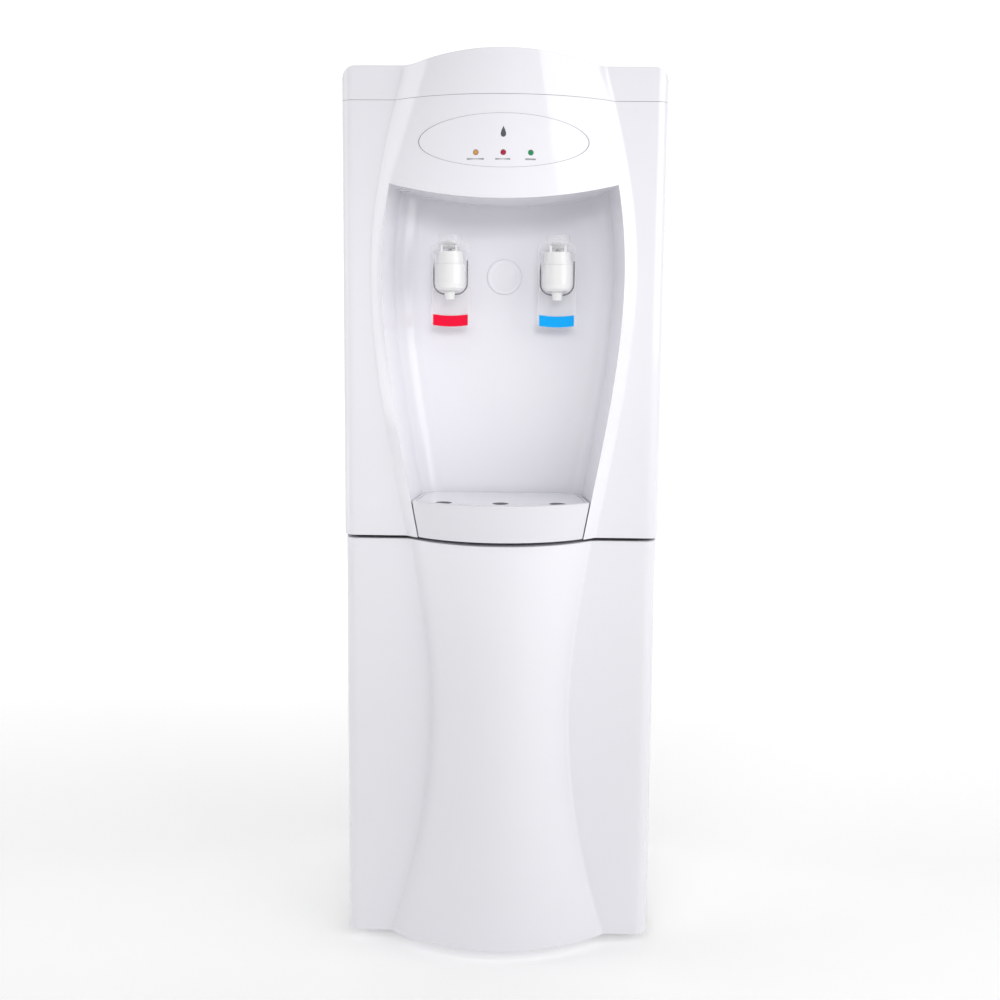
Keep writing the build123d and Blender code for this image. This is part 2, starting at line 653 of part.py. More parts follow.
SPLIT_Z = 318.0
DRAIN_Z = 452.0
SWITCH_X = {"hot": -100.0, "cold": -66.0}
SWITCH_Z = 806.0
CONDENSER_INLET = (-112.0, 470.0)
GLAND = (100.0, 60.0)


def cover_sheet(low, high):
    """A rear sheet between two heights, with its screw holes."""
    with BuildPart() as sheet:
        add(box_between((-HALF, CASE_BACK_Y - STEEL, low), (HALF, CASE_BACK_Y, high)))
        for z in [z for z in SCREW_Z if low < z < high]:
            for x in (-148.5, 148.5):
                add(bar((x, CASE_BACK_Y - 3, z), (0, 1, 0), 2.0, 6), mode=Mode.SUBTRACT)
    return sheet.part


with BuildPart() as rear_cover_upper:
    add(cover_sheet(SPLIT_Z + 1, PANEL_TOP))
    with BuildSketch(Plane.XZ.offset(-CASE_BACK_Y - 1)):
        with Locations((0, DRAIN_Z)):
            Circle(7.2)
        with Locations(CONDENSER_INLET):
            Circle(4.5)
        with Locations(*[(x, SWITCH_Z) for x in SWITCH_X.values()]):
            Rectangle(14.4, 22.4)
    extrude(amount=5, mode=Mode.SUBTRACT)
save(rear_cover_upper.part, "rear_cover_upper")

with BuildPart() as rear_cover_lower:
    add(cover_sheet(20, SPLIT_Z))
    with BuildSketch(Plane.XZ.offset(-CASE_BACK_Y - 1)):
        with Locations(GLAND):
            Circle(7.2)
        with Locations((-10, 180)):
            with GridLocations(96, 14, 2, 14):
                SlotOverall(80, 4.0)
    extrude(amount=5, mode=Mode.SUBTRACT)
save(rear_cover_lower.part, "rear_cover_lower")

with BuildPart() as screws:
    for z in SCREW_Z:
        for x in (-148.5, 148.5):
            add(turned([(0, 0), (1.6, 0), (1.6, 7.0), (3.6, 7.0), (3.4, 8.4), (2.2, 9.2), (0, 9.2)], 0, 0)
                .rotate(Axis.X, -90).translate((x, CASE_BACK_Y - 7.0, z)))
save(screws.part, "screws")

FOOT_PLACES = [(x, y) for x in (-118, 118) for y in (-78, 112)]
COMPRESSOR_X, COMPRESSOR_Y = -45.0, 82.0
GROMMET_PLACES = [(COMPRESSOR_X + dx, COMPRESSOR_Y + dy) for dx in (-56, 56) for dy in (-34, 34)]
with BuildPart() as base_plate:
    add(box_between((-153.4, CASE_FRONT_Y + 1.6, FOOT_HEIGHT), (153.4, INSIDE_BACK_Y, FOOT_HEIGHT + 1.5)))
    add(box_between((-153.4, INSIDE_BACK_Y - 1.5, FOOT_HEIGHT), (153.4, INSIDE_BACK_Y, 30)))
    for x, y in FOOT_PLACES:
        add(bar((x, y, FOOT_HEIGHT - 1), (0, 0, 1), 3.1, 5), mode=Mode.SUBTRACT)
    for x, y in GROMMET_PLACES:
        add(bar((x, y, FOOT_HEIGHT - 1), (0, 0, 1), 3.1, 5), mode=Mode.SUBTRACT)
save(base_plate.part, "base_plate")

with BuildPart() as feet:
    for x, y in FOOT_PLACES:
        add(turned([(0, 0), (13, 0), (15, 3), (15, FOOT_HEIGHT), (3, FOOT_HEIGHT), (3, 16), (0, 16)], x, y))
save(feet.part, "feet")

UPPER_DECK = 550.0
HOSE_ANGLE = (0.522, -0.853)      # from the tanks' axis towards a tap, seen from above
with BuildPart() as tank_frame:
    add(box_between((-153.4, -57, PANEL_BOTTOM + 0.5), (153.4, INSIDE_BACK_Y, PANEL_BOTTOM + 2)))
    add(box_between((-152, -57, UPPER_DECK), (152, INSIDE_BACK_Y, UPPER_DECK + 1.5)))
    for x in (-152, 138):
        for y in (-50, 120):
            add(box_between((x, y, PANEL_BOTTOM + 1), (x + 14, y + 1.5, UPPER_DECK + 1)))
            edge_x = x if x < 0 else x + 12.5
            add(box_between((edge_x, y, PANEL_BOTTOM + 1), (edge_x + 1.5, y + 14, UPPER_DECK + 1)))
    add(bar((0, WELL_Y, UPPER_DECK - 2), (0, 0, 1), 8, 6), mode=Mode.SUBTRACT)
    add(bar((-52.4, -49.5, UPPER_DECK - 2), (0, 0, 1), 8, 6), mode=Mode.SUBTRACT)
    for x in (-112, 112):
        add(bar((x, 105, PANEL_BOTTOM - 2), (0, 0, 1), 6, 140), mode=Mode.SUBTRACT)
save(tank_frame.part, "tank_frame")

# ---- cold tank ----------------------------------------------------------------------------
COLD_R = 74.0
COLD_LOW, COLD_HIGH = 566.0, 741.8
COLD_SPIGOT_Z = 580.0
HOT_SPIGOT_Z = 520.0
hot_direction = (-HOSE_ANGLE[0], HOSE_ANGLE[1], 0)
cold_direction = (HOSE_ANGLE[0], HOSE_ANGLE[1], 0)


def out_from_axis(direction, distance, z):
    return direction[0] * distance, WELL_Y + direction[1] * distance, z


with BuildPart() as cold_tank:
    add(
        turned(
            [
                (0, COLD_LOW), (66, COLD_LOW), (COLD_R, COLD_LOW + 8), (COLD_R, COLD_HIGH - 1.2),
                (81, COLD_HIGH - 1.2), (81, COLD_HIGH), (COLD_R - 1.2, COLD_HIGH), (COLD_R - 1.2, COLD_LOW + 8.5),
                (65.5, COLD_LOW + 1.2), (0, COLD_LOW + 1.2),
            ]
        )
    )
    add(bar(out_from_axis(cold_direction, COLD_R - 2, COLD_SPIGOT_Z), cold_direction, 4, 12))
    add(bar((0, WELL_Y, COLD_LOW - 8), (0, 0, 1), 4, 9))
    add(bar(out_from_axis(cold_direction, COLD_R - 6, COLD_SPIGOT_Z), cold_direction, 3, 20), mode=Mode.SUBTRACT)
    add(bar((0, WELL_Y, COLD_LOW - 9), (0, 0, 1), 3, 14), mode=Mode.SUBTRACT)
save(cold_tank.part, "cold_tank")

with BuildPart() as cold_tank_lid:
    add(
        turned(
            [
                (13.2, 746), (13.2, 760), (16, 760), (16, 749), (86, 749), (86, 742), (81.5, 742), (81.5, 746),
                (72, 746), (72, 740), (70, 740), (70, 746),
            ]
        )
    )
save(cold_tank_lid.part, "cold_tank_lid")

with BuildPart() as cold_insulation:
    add(
        turned(
            [
                (8, UPPER_DECK + 1.5), (93.5, UPPER_DECK + 1.5), (93.5, 740), (84.5, 740), (84.5, 565.8), (8, 565.8),
            ]
        )
    )
    add(bar(out_from_axis(cold_direction, 80, COLD_SPIGOT_Z), cold_direction, 6.5, 20), mode=Mode.SUBTRACT)
    add(bar((70, 50, 592), (1, 0, 0), 4.5, 30), mode=Mode.SUBTRACT)
save(cold_insulation.part, "cold_insulation")

save(coil((0, WELL_Y, 600), 78.4, 15, 105, 3.0), "evaporator_coil")

# ---- hot tank -------------------------------------------------------------------------------
HOT_R = 46.0
HOT_LOW, HOT_HIGH = 441.0, 532.0
with BuildPart() as hot_tank:
    add(
        turned(
            [
                (0, HOT_LOW), (40, HOT_LOW), (HOT_R, HOT_LOW + 6), (HOT_R, HOT_HIGH - 6), (40, HOT_HIGH),
                (0, HOT_HIGH),
            ]
        )
    )
    add(bar((0, WELL_Y, HOT_HIGH - 0.5), (0, 0, 1), 4, 6))
    add(bar(out_from_axis(hot_direction, HOT_R - 2, HOT_SPIGOT_Z), hot_direction, 4, 15))
    add(bar((0, WELL_Y + HOT_R - 2, DRAIN_Z), (0, 1, 0), 4, 21))
    add(
        turned(
            [
                (0, HOT_LOW + 1.2), (39.5, HOT_LOW + 1.2), (HOT_R - 1.2, HOT_LOW + 6.5),
                (HOT_R - 1.2, HOT_HIGH - 6.5), (39.5, HOT_HIGH - 1.2), (0, HOT_HIGH - 1.2),
            ]
        ),
        mode=Mode.SUBTRACT,
    )
    add(bar((0, WELL_Y, HOT_HIGH - 5), (0, 0, 1), 3, 15), mode=Mode.SUBTRACT)
    add(bar(out_from_axis(hot_direction, HOT_R - 6, HOT_SPIGOT_Z), hot_direction, 3, 25), mode=Mode.SUBTRACT)
    add(bar((0, WELL_Y + HOT_R - 6, DRAIN_Z), (0, 1, 0), 3, 30), mode=Mode.SUBTRACT)
save(hot_tank.part, "hot_tank")

with BuildPart() as hot_insulation:
    add(
        turned(
            [(0, PANEL_BOTTOM + 2), (60, PANEL_BOTTOM + 2), (60, 545), (50.6, 545), (50.6, HOT_LOW - 0.2), (0, HOT_LOW - 0.2)]
        )
    )
    add(bar(out_from_axis(hot_direction, 46, HOT_SPIGOT_Z), hot_direction, 6, 20), mode=Mode.SUBTRACT)
    add(bar((0, WELL_Y + 46, DRAIN_Z), (0, 1, 0), 6, 20), mode=Mode.SUBTRACT)
save(hot_insulation.part, "hot_insulation")

with BuildPart() as heater_band:
    add(turned([(46.3, 466), (49.4, 466), (49.4, 488), (46.3, 488)]))
    add(box_between((-2, WELL_Y - 60, 460), (2, WELL_Y, 494)), mode=Mode.SUBTRACT)
save(heater_band.part, "heater_band")

with BuildPart() as thermostats:
    for x in (-26, 26):
        add(turned([(0, HOT_HIGH + 0.1), (8, HOT_HIGH + 0.1), (8, 536), (6, 540), (0, 540)], x, WELL_Y))
save(thermostats.part, "thermostats")

# ---- water hoses ------------------------------------------------------------------------------
HOSE_R = 5.0
TAP_TAIL_Z = TAP_PIPE_Z - 20.4
with BuildPart() as water_hoses:
    add(pipe([out_from_axis(cold_direction, 84.3, COLD_SPIGOT_Z), out_from_axis(cold_direction, 100.8, COLD_SPIGOT_Z),
              (TAP_X, -50, TAP_TAIL_Z)], 9, HOSE_R))
    add(pipe([out_from_axis(hot_direction, 59.3, HOT_SPIGOT_Z), out_from_axis(hot_direction, 100.8, HOT_SPIGOT_Z),
              (-TAP_X, -50, TAP_TAIL_Z)], 12, HOSE_R))
    add(bar((0, WELL_Y, HOT_HIGH + 5.5), (0, 0, 1), HOSE_R, COLD_LOW - 8 - HOT_HIGH - 5.5))
    add(bar((0, WELL_Y + HOT_R + 19, DRAIN_Z), (0, 1, 0), HOSE_R, 12))
save(water_hoses.part, "water_hoses")

with BuildPart() as drain_outlet:
    add(bar((0, WELL_Y + HOT_R + 31, DRAIN_Z), (0, 1, 0), 7, 40))
    add(bar((0, CASE_BACK_Y, DRAIN_Z), (0, 1, 0), 13, 2.5))
    add(bar((0, WELL_Y + HOT_R + 36, DRAIN_Z), (0, 1, 0), 4.5, 40), mode=Mode.SUBTRACT)
save(drain_outlet.part, "drain_outlet")

with BuildPart() as drain_cap:
    add(bar((0, CASE_BACK_Y + 2.9, DRAIN_Z), (0, 1, 0), 10.5, 13))
    chamfer(drain_cap.edges().sort_by(Axis.Y)[-1], 1.2)
    add(bar((0, CASE_BACK_Y + 2, DRAIN_Z), (0, 1, 0), 7.35, 11.5), mode=Mode.SUBTRACT)
    for i in range(18):
        angle = radians(20 * i)
        start = (10.9 * cos(angle), CASE_BACK_Y + 2, DRAIN_Z + 10.9 * sin(angle))
        add(bar(start, (0, 1, 0), 0.8, 12), mode=Mode.SUBTRACT)
save(drain_cap.part, "drain_cap")

# ---- cooling circuit ------------------------------------------------------------------------------
with BuildPart() as compressor:
    add(
        turned(
            [
                (0, 26), (36, 26), (46, 36), (50, 56), (50, 96), (51.5, 96), (51.5, 99), (50, 99), (49, 132),
                (42, 152), (26, 162), (0, 165),
            ],
            COMPRESSOR_X, COMPRESSOR_Y,
        )
    )
    with BuildSketch(Plane.XY.offset(24)):
        with Locations((COMPRESSOR_X, COMPRESSOR_Y)):
            RectangleRounded(130, 86, 10)
            with GridLocations(112, 68, 2, 2):
                Circle(5, mode=Mode.SUBTRACT)
    extrude(amount=2.5)
    add(box_between((COMPRESSOR_X + 40, COMPRESSOR_Y - 18, 80), (COMPRESSOR_X + 66, COMPRESSOR_Y + 18, 124)))
save(compressor.part, "compressor")

with BuildPart() as compressor_grommets:
    for x, y in GROMMET_PLACES:
        add(turned([(0, 13.3), (8, 13.3), (8, 23.9), (4.8, 23.9), (4.8, 26.6), (8, 26.6), (8, 30), (0, 30)], x, y))
save(compressor_grommets.part, "compressor_grommets")

TUBE_R = 2.4
TUBE_Y = BACK_Y - 1.6 - 0.02 - TUBE_R
with BuildPart() as refrigerant_tubes:
    add(pipe([(-60, 105, 162.8), (-60, 105, 340), (-112, 105, 340), (-112, 105, 470), (-112, 125, 470)], 9, TUBE_R))
    add(pipe([(-20, 100, 162.8), (-20, 100, 300), (112, 105, 300), (112, 105, 592), (112, 50, 592), (86, 50, 592)],
             9, TUBE_R))
    add(turned([(0, 200), (3, 200), (8, 208), (8, 262), (3, 270), (0, 270)], 90, 60))
    add(pipe([(90, 60, 200), (90, 60, 150), (40, 60, 150), (40, 100, 150)], 9, 1.2))
save(refrigerant_tubes.part, "refrigerant_tubes")

PASSES = 10
PASS_PITCH = 28.0
FIRST_PASS = 490.0
COIL_HALF = 112.0
serpentine = [(CONDENSER_INLET[0], 125, CONDENSER_INLET[1]), (CONDENSER_INLET[0], TUBE_Y, CONDENSER_INLET[1])]
for i in range(PASSES):
    ends = (-COIL_HALF, COIL_HALF) if i % 2 == 0 else (COIL_HALF, -COIL_HALF)
    serpentine += [(x, TUBE_Y, FIRST_PASS + PASS_PITCH * i) for x in ends]
WIRE_R = 0.8
with BuildPart() as condenser:
    add(pipe(serpentine, 9.5, TUBE_R))
    for i in range(17):
        x = -104 + 13 * i
        for y in (TUBE_Y - TUBE_R - WIRE_R - 0.02, BACK_Y - WIRE_R):
            add(bar((x, y, FIRST_PASS - 8), (0, 0, 1), WIRE_R, PASS_PITCH * (PASSES - 1) + 16))
    for x in (-97.5, 97.5):
        for z in (FIRST_PASS + PASS_PITCH, FIRST_PASS + PASS_PITCH * (PASSES - 2)):
            add(box_between((x - 2.5, CASE_BACK_Y, z - 6), (x + 2.5, TUBE_Y - TUBE_R - 0.05, z + 6)))
save(condenser.part, "condenser")

# ---- rear switches and cord gland ---------------------------------------------------------------
ROCKER_Y = CASE_BACK_Y - 3.0
ROCKER_PIN_R = 1.2
with BuildPart() as switch_frames:
    for x in SWITCH_X.values():
        add(box_between((x - 9, CASE_BACK_Y, SWITCH_Z - 13), (x + 9, CASE_BACK_Y + 1.8, SWITCH_Z + 13)))
        add(box_between((x - 7, CASE_BACK_Y - 20, SWITCH_Z - 11), (x + 7, CASE_BACK_Y + 1, SWITCH_Z + 11)))
        add(
            box_between((x - 5.6, CASE_BACK_Y - 14, SWITCH_Z - 10), (x + 5.6, CASE_BACK_Y + 4, SWITCH_Z + 10)),
            mode=Mode.SUBTRACT,
        )
        add(bar((x - 6.8, ROCKER_Y, SWITCH_Z), (1, 0, 0), ROCKER_PIN_R + 0.05, 13.6), mode=Mode.SUBTRACT)
save(switch_frames.part, "switch_frames")

for side, x in SWITCH_X.items():
    with BuildPart() as rocker:
        with BuildSketch(Plane.YZ.offset(x - 5.2)):
            with BuildLine():
                Polyline((-7, -5), (-7, 5), (3, 8.4), (6.4, 8.4), (4.6, 0), (6.4, -8.4), (3, -8.4), close=True)
            make_face()
        extrude(amount=10.4)
        add(bar((x - 6.6, 0, 0), (1, 0, 0), ROCKER_PIN_R, 13.2))
    save(rocker.part.rotate(Axis.X, -8).translate((0, ROCKER_Y, SWITCH_Z)), f"{side}_rocker")

with BuildPart() as cord_gland:
    for start_y, radius, length in ((CASE_BACK_Y - 6, 7.0, 8), (CASE_BACK_Y - 5, 9.5, 3.6), (CASE_BACK_Y + 0.1, 10, 3),
                                    (CASE_BACK_Y + 3, 6.4, 7)):
        add(bar((GLAND[0], start_y, GLAND[1]), (0, 1, 0), radius, length))
    add(bar((GLAND[0], CASE_BACK_Y - 8, GLAND[1]), (0, 1, 0), 3.6, 22), mode=Mode.SUBTRACT)
save(cord_gland.part, "cord_gland")
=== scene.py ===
"""Looks of a free-standing water dispenser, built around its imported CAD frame. Metres."""
import json
from math import asin, atan, atan2, cos, hypot, pi, radians, sin, sqrt

import bmesh
import bpy
from mathutils import Matrix, Vector


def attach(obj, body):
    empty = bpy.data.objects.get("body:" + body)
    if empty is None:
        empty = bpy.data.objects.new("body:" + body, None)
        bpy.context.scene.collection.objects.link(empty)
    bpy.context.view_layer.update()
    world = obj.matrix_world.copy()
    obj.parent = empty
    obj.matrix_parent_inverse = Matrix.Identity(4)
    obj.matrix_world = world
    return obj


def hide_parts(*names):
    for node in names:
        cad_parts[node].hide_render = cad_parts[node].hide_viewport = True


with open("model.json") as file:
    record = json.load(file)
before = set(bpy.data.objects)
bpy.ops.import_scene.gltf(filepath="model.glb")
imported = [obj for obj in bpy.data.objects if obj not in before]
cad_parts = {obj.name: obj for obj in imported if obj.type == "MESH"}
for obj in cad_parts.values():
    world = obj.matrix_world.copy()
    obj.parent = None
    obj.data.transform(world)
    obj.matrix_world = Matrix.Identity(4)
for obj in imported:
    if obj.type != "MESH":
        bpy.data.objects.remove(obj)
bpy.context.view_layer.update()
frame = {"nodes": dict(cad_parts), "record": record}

MM = 0.001
NODES = frame["nodes"]
SLOT_OF = {entry["node"]: entry["material_slot"] for entry in frame["record"]["subparts"]}


# ---- materials ------------------------------------------------------------------------
def new_material(name):
    material = bpy.data.materials.new(name)
    material.use_nodes = True
    tree = material.node_tree
    shader = tree.nodes["Principled BSDF"]
    return material, tree, shader


def noise(tree, scale, detail=3.0):
    """A noise texture in object space, in metres."""
    place = tree.nodes.new("ShaderNodeTexCoord")
    texture = tree.nodes.new("ShaderNodeTexNoise")
    texture.inputs["Scale"].default_value = scale
    texture.inputs["Detail"].default_value = detail
    tree.links.new(place.outputs["Object"], texture.inputs["Vector"])
    return texture.outputs["Fac"]


def spread(tree, value, low, high):
    """Maps a 0..1 texture value to a range."""
    node = tree.nodes.new("ShaderNodeMapRange")
    node.inputs["To Min"].default_value = low
    node.inputs["To Max"].default_value = high
    tree.links.new(value, node.inputs["Value"])
    return node.outputs["Result"]


def vary_colour(tree, shader, colour, amount, scale):
    """Base colour with slight, slow changes of lightness, as moulded plastic has."""
    mix = tree.nodes.new("ShaderNodeMix")
    mix.data_type = "RGBA"
    mix.inputs["A"].default_value = (*[c * (1 - amount) for c in colour], 1)
    mix.inputs["B"].default_value = (*[min(1.0, c * (1 + amount)) for c in colour], 1)
    tree.links.new(noise(tree, scale), mix.inputs["Factor"])
    tree.links.new(mix.outputs["Result"], shader.inputs["Base Color"])


def add_bump(tree, shader, height, distance, strength=1.0):
    bump = tree.nodes.new("ShaderNodeBump")
    bump.inputs["Strength"].default_value = strength
    bump.inputs["Distance"].default_value = distance
    tree.links.new(height, bump.inputs["Height"])
    tree.links.new(bump.outputs["Normal"], shader.inputs["Normal"])


def plastic(name, colour, roughness, coat=0.0, grain=0.0, grain_scale=900.0):
    """Moulded plastic: slight tone changes, polish that varies, and an optional fine grain."""
    material, tree, shader = new_material(name)
    vary_colour(tree, shader, colour, 0.012, 9.0)
    polish = spread(tree, noise(tree, 22.0, 4.0), roughness * 0.85, roughness * 1.15)
    tree.links.new(polish, shader.inputs["Roughness"])
    shader.inputs["Coat Weight"].default_value = coat
    shader.inputs["Coat Roughness"].default_value = 0.04
    shader.inputs["IOR"].default_value = 1.49
    if grain:
        add_bump(tree, shader, noise(tree, grain_scale, 2.0), grain)
    return material


def painted_steel(name, colour, roughness):
    """Powder-coated sheet with a fine orange peel."""
    material, tree, shader = new_material(name)
    vary_colour(tree, shader, colour, 0.015, 6.0)
    gloss = spread(tree, noise(tree, 60.0), roughness * 0.9, roughness * 1.2)
    tree.links.new(gloss, shader.inputs["Roughness"])
    add_bump(tree, shader, noise(tree, 1400.0, 2.0), 0.00006, 0.6)
    return material


def metal(name, colour, roughness, streak=False):
    """Bare metal, brushed along X when streak is set."""
    material, tree, shader = new_material(name)
    vary_colour(tree, shader, colour, 0.05, 40.0)
    shader.inputs["Metallic"].default_value = 1.0
    value = noise(tree, 180.0, 4.0)
    if streak:
        place = tree.nodes.new("ShaderNodeTexCoord")
        stretch = tree.nodes.new("ShaderNodeMapping")
        stretch.inputs["Scale"].default_value = (20, 20, 900)
        texture = tree.nodes.new("ShaderNodeTexNoise")
        texture.inputs["Scale"].default_value = 1.0
        tree.links.new(place.outputs["Object"], stretch.inputs["Vector"])
        tree.links.new(stretch.outputs["Vector"], texture.inputs["Vector"])
        value = texture.outputs["Fac"]
    tree.links.new(spread(tree, value, roughness * 0.7, roughness * 1.4), shader.inputs["Roughness"])
    return material


def rubber(name, colour):
    material, tree, shader = new_material(name)
    vary_colour(tree, shader, colour, 0.1, 50.0)
    tree.links.new(spread(tree, noise(tree, 150.0), 0.55, 0.75), shader.inputs["Roughness"])
    add_bump(tree, shader, noise(tree, 1800.0), 0.00008, 0.5)
    return material


def clear_plastic(name, tint, alpha):
    """Thin clear moulding: mostly see-through, with its own soft whiteness and sharp highlights."""
    material, tree, shader = new_material(name)
    vary_colour(tree, shader, tint, 0.02, 120.0)
    shader.inputs["Alpha"].default_value = alpha
    shader.inputs["IOR"].default_value = 1.52
    shader.inputs["Coat Weight"].default_value = 1.0
    shader.inputs["Coat Roughness"].default_value = 0.03
    tree.links.new(spread(tree, noise(tree, 90.0), 0.035, 0.065), shader.inputs["Roughness"])
    return material


def lamp_lens(name, colour):
    material, tree, shader = new_material(name)
    vary_colour(tree, shader, colour, 0.15, 700.0)
    tree.links.new(spread(tree, noise(tree, 500.0), 0.12, 0.2), shader.inputs["Roughness"])
    shader.inputs["Coat Weight"].default_value = 0.6
    return material


WHITE = (0.885, 0.878, 0.925)
MATERIALS = {
    "gloss_white": plastic("gloss_white", WHITE, 0.12, coat=0.35),
    # painted shade: the tray's white is a darker copy of the casing's white, so that the tray looks darker
    # than the niche
    "tray_white": plastic("tray_white", (0.80, 0.795, 0.84), 0.14, coat=0.3),
    "satin_white": plastic("satin_white", (0.74, 0.75, 0.77), 0.38, grain=0.00005),
    "window_film": plastic("window_film", WHITE, 0.1, coat=0.3),
    "lamp_amber": lamp_lens("lamp_amber", (0.62, 0.33, 0.10)),
    "lamp_red": lamp_lens("lamp_red", (0.45, 0.01, 0.05)),
    "lamp_green": lamp_lens("lamp_green", (0.01, 0.28, 0.10)),
    "circuit_board": plastic("circuit_board", (0.03, 0.20, 0.07), 0.45, grain=0.0001),
    "tap_white": plastic("tap_white", (0.84, 0.84, 0.84), 0.16, coat=0.3),
    "clear_plastic": clear_plastic("clear_plastic", (0.93, 0.93, 0.95), 0.22),
    # painted shade: a dark, less clear copy of the clear plastic, for the lever's cut-out edges and the
    # line along them
    "clear_edge_shade": clear_plastic("clear_edge_shade", (0.16, 0.16, 0.17), 0.62),
    "print_grey": plastic("print_grey", (0.30, 0.31, 0.33), 0.4),
    "print_dark": plastic("print_dark", (0.09, 0.10, 0.11), 0.4),
    # painted shade: dark grey for the tray's basin floor and the walls of the plate's drain holes, so that
    # the holes look dark
    "basin_shade_grey": plastic("basin_shade_grey", (0.16, 0.16, 0.17), 0.5, grain=0.00005),
    "band_red": plastic("band_red", (0.92, 0.0, 0.04), 0.3),
    "band_blue": plastic("band_blue", (0.0, 0.42, 1.0), 0.3),
    "silicone": rubber("silicone", (0.72, 0.72, 0.70)),
    "stainless": metal("stainless", (0.62, 0.62, 0.63), 0.28, streak=True),
    "rubber_grey": rubber("rubber_grey", (0.42, 0.43, 0.44)),
    "rubber_black": rubber("rubber_black", (0.025, 0.025, 0.027)),
    "painted_steel": painted_steel("painted_steel", (0.76, 0.77, 0.785), 0.3),
    "grey_steel": painted_steel("grey_steel", (0.48, 0.49, 0.51), 0.4),
    "foam_white": plastic("foam_white", (0.82, 0.82, 0.82), 0.8, grain=0.0006, grain_scale=260.0),
    "copper": metal("copper", (0.72, 0.38, 0.25), 0.3),
    "black_plastic": plastic("black_plastic", (0.02, 0.02, 0.022), 0.4, grain=0.00005),
    "compressor_black": painted_steel("compressor_black", (0.018, 0.018, 0.02), 0.35),
    "condenser_black": painted_steel("condenser_black", (0.02, 0.02, 0.022), 0.4),
    "rocker_red": plastic("rocker_red", (0.5, 0.01, 0.01), 0.25, coat=0.2),
    "rocker_green": plastic("rocker_green", (0.01, 0.26, 0.05), 0.25, coat=0.2),
}


def dress_cad_nodes():
    for name, node in NODES.items():
        material = MATERIALS[SLOT_OF[name]]
        node.data.materials.clear()
        node.data.materials.append(material)


def paint_faces(mesh, slot, wanted):
    """Adds a second material, for the faces whose centre, in mm, and normal are wanted."""
    mesh.materials.append(MATERIALS[slot])
    for polygon in mesh.polygons:
        if wanted(polygon.center / MM, polygon.normal):
            polygon.material_index = 1


dress_cad_nodes()


# ---- outline of the casing, in millimetres --------------------------------------------------
HALF = 155.0
EAR_Y = -128.0
BULGE = 42.0
FRONT_Y = EAR_Y - BULGE
CORNER_R = 12.5
CREASE_R = 3.5
WALL = 2.6
EDGE_R = 1.3
DOOR_LOW, DOOR_HIGH = 12.0, 421.9
DOOR_HALF = 153.4
DOOR_BACK_Y = -104.0
PANEL_LOW, PANEL_HIGH = 425.0, 840.75
PANEL_BACK_Y = -100.8
COVER_LOW = 841.05
COVER_BACK_Y = 140.0
FLAT_TOP = 872.6
ARC_STEPS = 22          # steps along the half bulge of the door and the cover
WELL_Y = 36.0
WELL_R = 88.0
NICHE_FLOOR = 429.0
NICHE_BACK_Y = -62.0
FRAME_BAND = 11.8
LIP_R = 388.6
LIP_CENTRE_Z = 748.0 + LIP_R    # 748 is the lip's lowest point
TAPS_X = (-52.6, 52.6)
LAMPS_X = (-25.2, 0.0, 25.2)
LAMP_Z = 788.9
LAMP_R = 2.6
PLUG_Z = 678.6
WINDOW_Z = 799.8
WINDOW_HALF = (79.6, 24.3)
BELLY_Z, BELLY_HALF = 680.0, 127.6      # where the upper bulge is widest
WAIST_Z, WAIST_HALF = 248.0, 68.8       # where the door's bulge is narrowest


def half_width_of_bulge(z):
    """Half the bulge's width at height z; quadratic and cubic terms bend it away from its widest or
    narrowest height."""
    if z > DOOR_HIGH + 1:
        d = abs(z - BELLY_Z)
        quadratic, cubic = (1.22e-3, 1.7e-6) if z > BELLY_Z else (9.0e-4, 1.43e-6)
        return BELLY_HALF - quadratic * d**2 + cubic * d**3
    d = abs(z - WAIST_Z)
    quadratic, cubic = (9.5e-4, 1.67e-6) if z > WAIST_Z else (7.3e-4, 0.0)
    return WAIST_HALF + quadratic * d**2 - cubic * d**3


def bulge_arc(z):
    """Centre (y) and radius of the bulge's plan arc at height z."""
    half = half_width_of_bulge(z)
    radius = (half**2 + BULGE**2) / (2 * BULGE)
    return FRONT_Y + radius, radius


def bulge_y(x, z, inset=0.0):
    """Y of the bulge's face at x and z, or of a surface that lies inset behind it."""
    centre_y, radius = bulge_arc(z)
    return centre_y - sqrt((radius - inset) ** 2 - x**2)


def niche_half(z):
    return half_width_of_bulge(z) - FRAME_BAND


def lip(x):
    """Height of the niche's curved lip and ceiling at x."""
    return LIP_CENTRE_Z - sqrt(LIP_R**2 - x**2)


def steps(count):
    """Fractions from 0 to 1 in count equal steps."""
    return [i / count for i in range(count + 1)]


def lerp(a, b, t):
    return a + (b - a) * t


def front_path(z, end_x, side_x, back_y, arc_steps):
    """Plan outline of the right half at height z: side, corner, flat ear, crease, and the bulge up
    to end_x."""
    corner_x, corner_y = side_x - CORNER_R, EAR_Y + CORNER_R
    path = [(side_x, back_y)]
    for t in steps(8):
        path.append((corner_x + CORNER_R * cos(pi / 2 * t), corner_y - CORNER_R * sin(pi / 2 * t)))
    centre_y, radius = bulge_arc(z)
    rise = centre_y - EAR_Y + CREASE_R
    crease_x = sqrt((radius + CREASE_R) ** 2 - rise**2)
    for t in steps(6)[1:]:
        path.append((lerp(corner_x, crease_x, t), EAR_Y))
    last = atan2(rise, -crease_x)
    for t in steps(5)[1:]:
        angle = lerp(pi / 2, last, t)
        path.append((crease_x + CREASE_R * cos(angle), EAR_Y - CREASE_R + CREASE_R * sin(angle)))
    first = atan2(crease_x, rise)
    end = asin(end_x / radius)
    for t in steps(arc_steps)[1:]:
        angle = lerp(first, end, t)
        path.append((radius * sin(angle), centre_y - radius * cos(angle)))
    return path


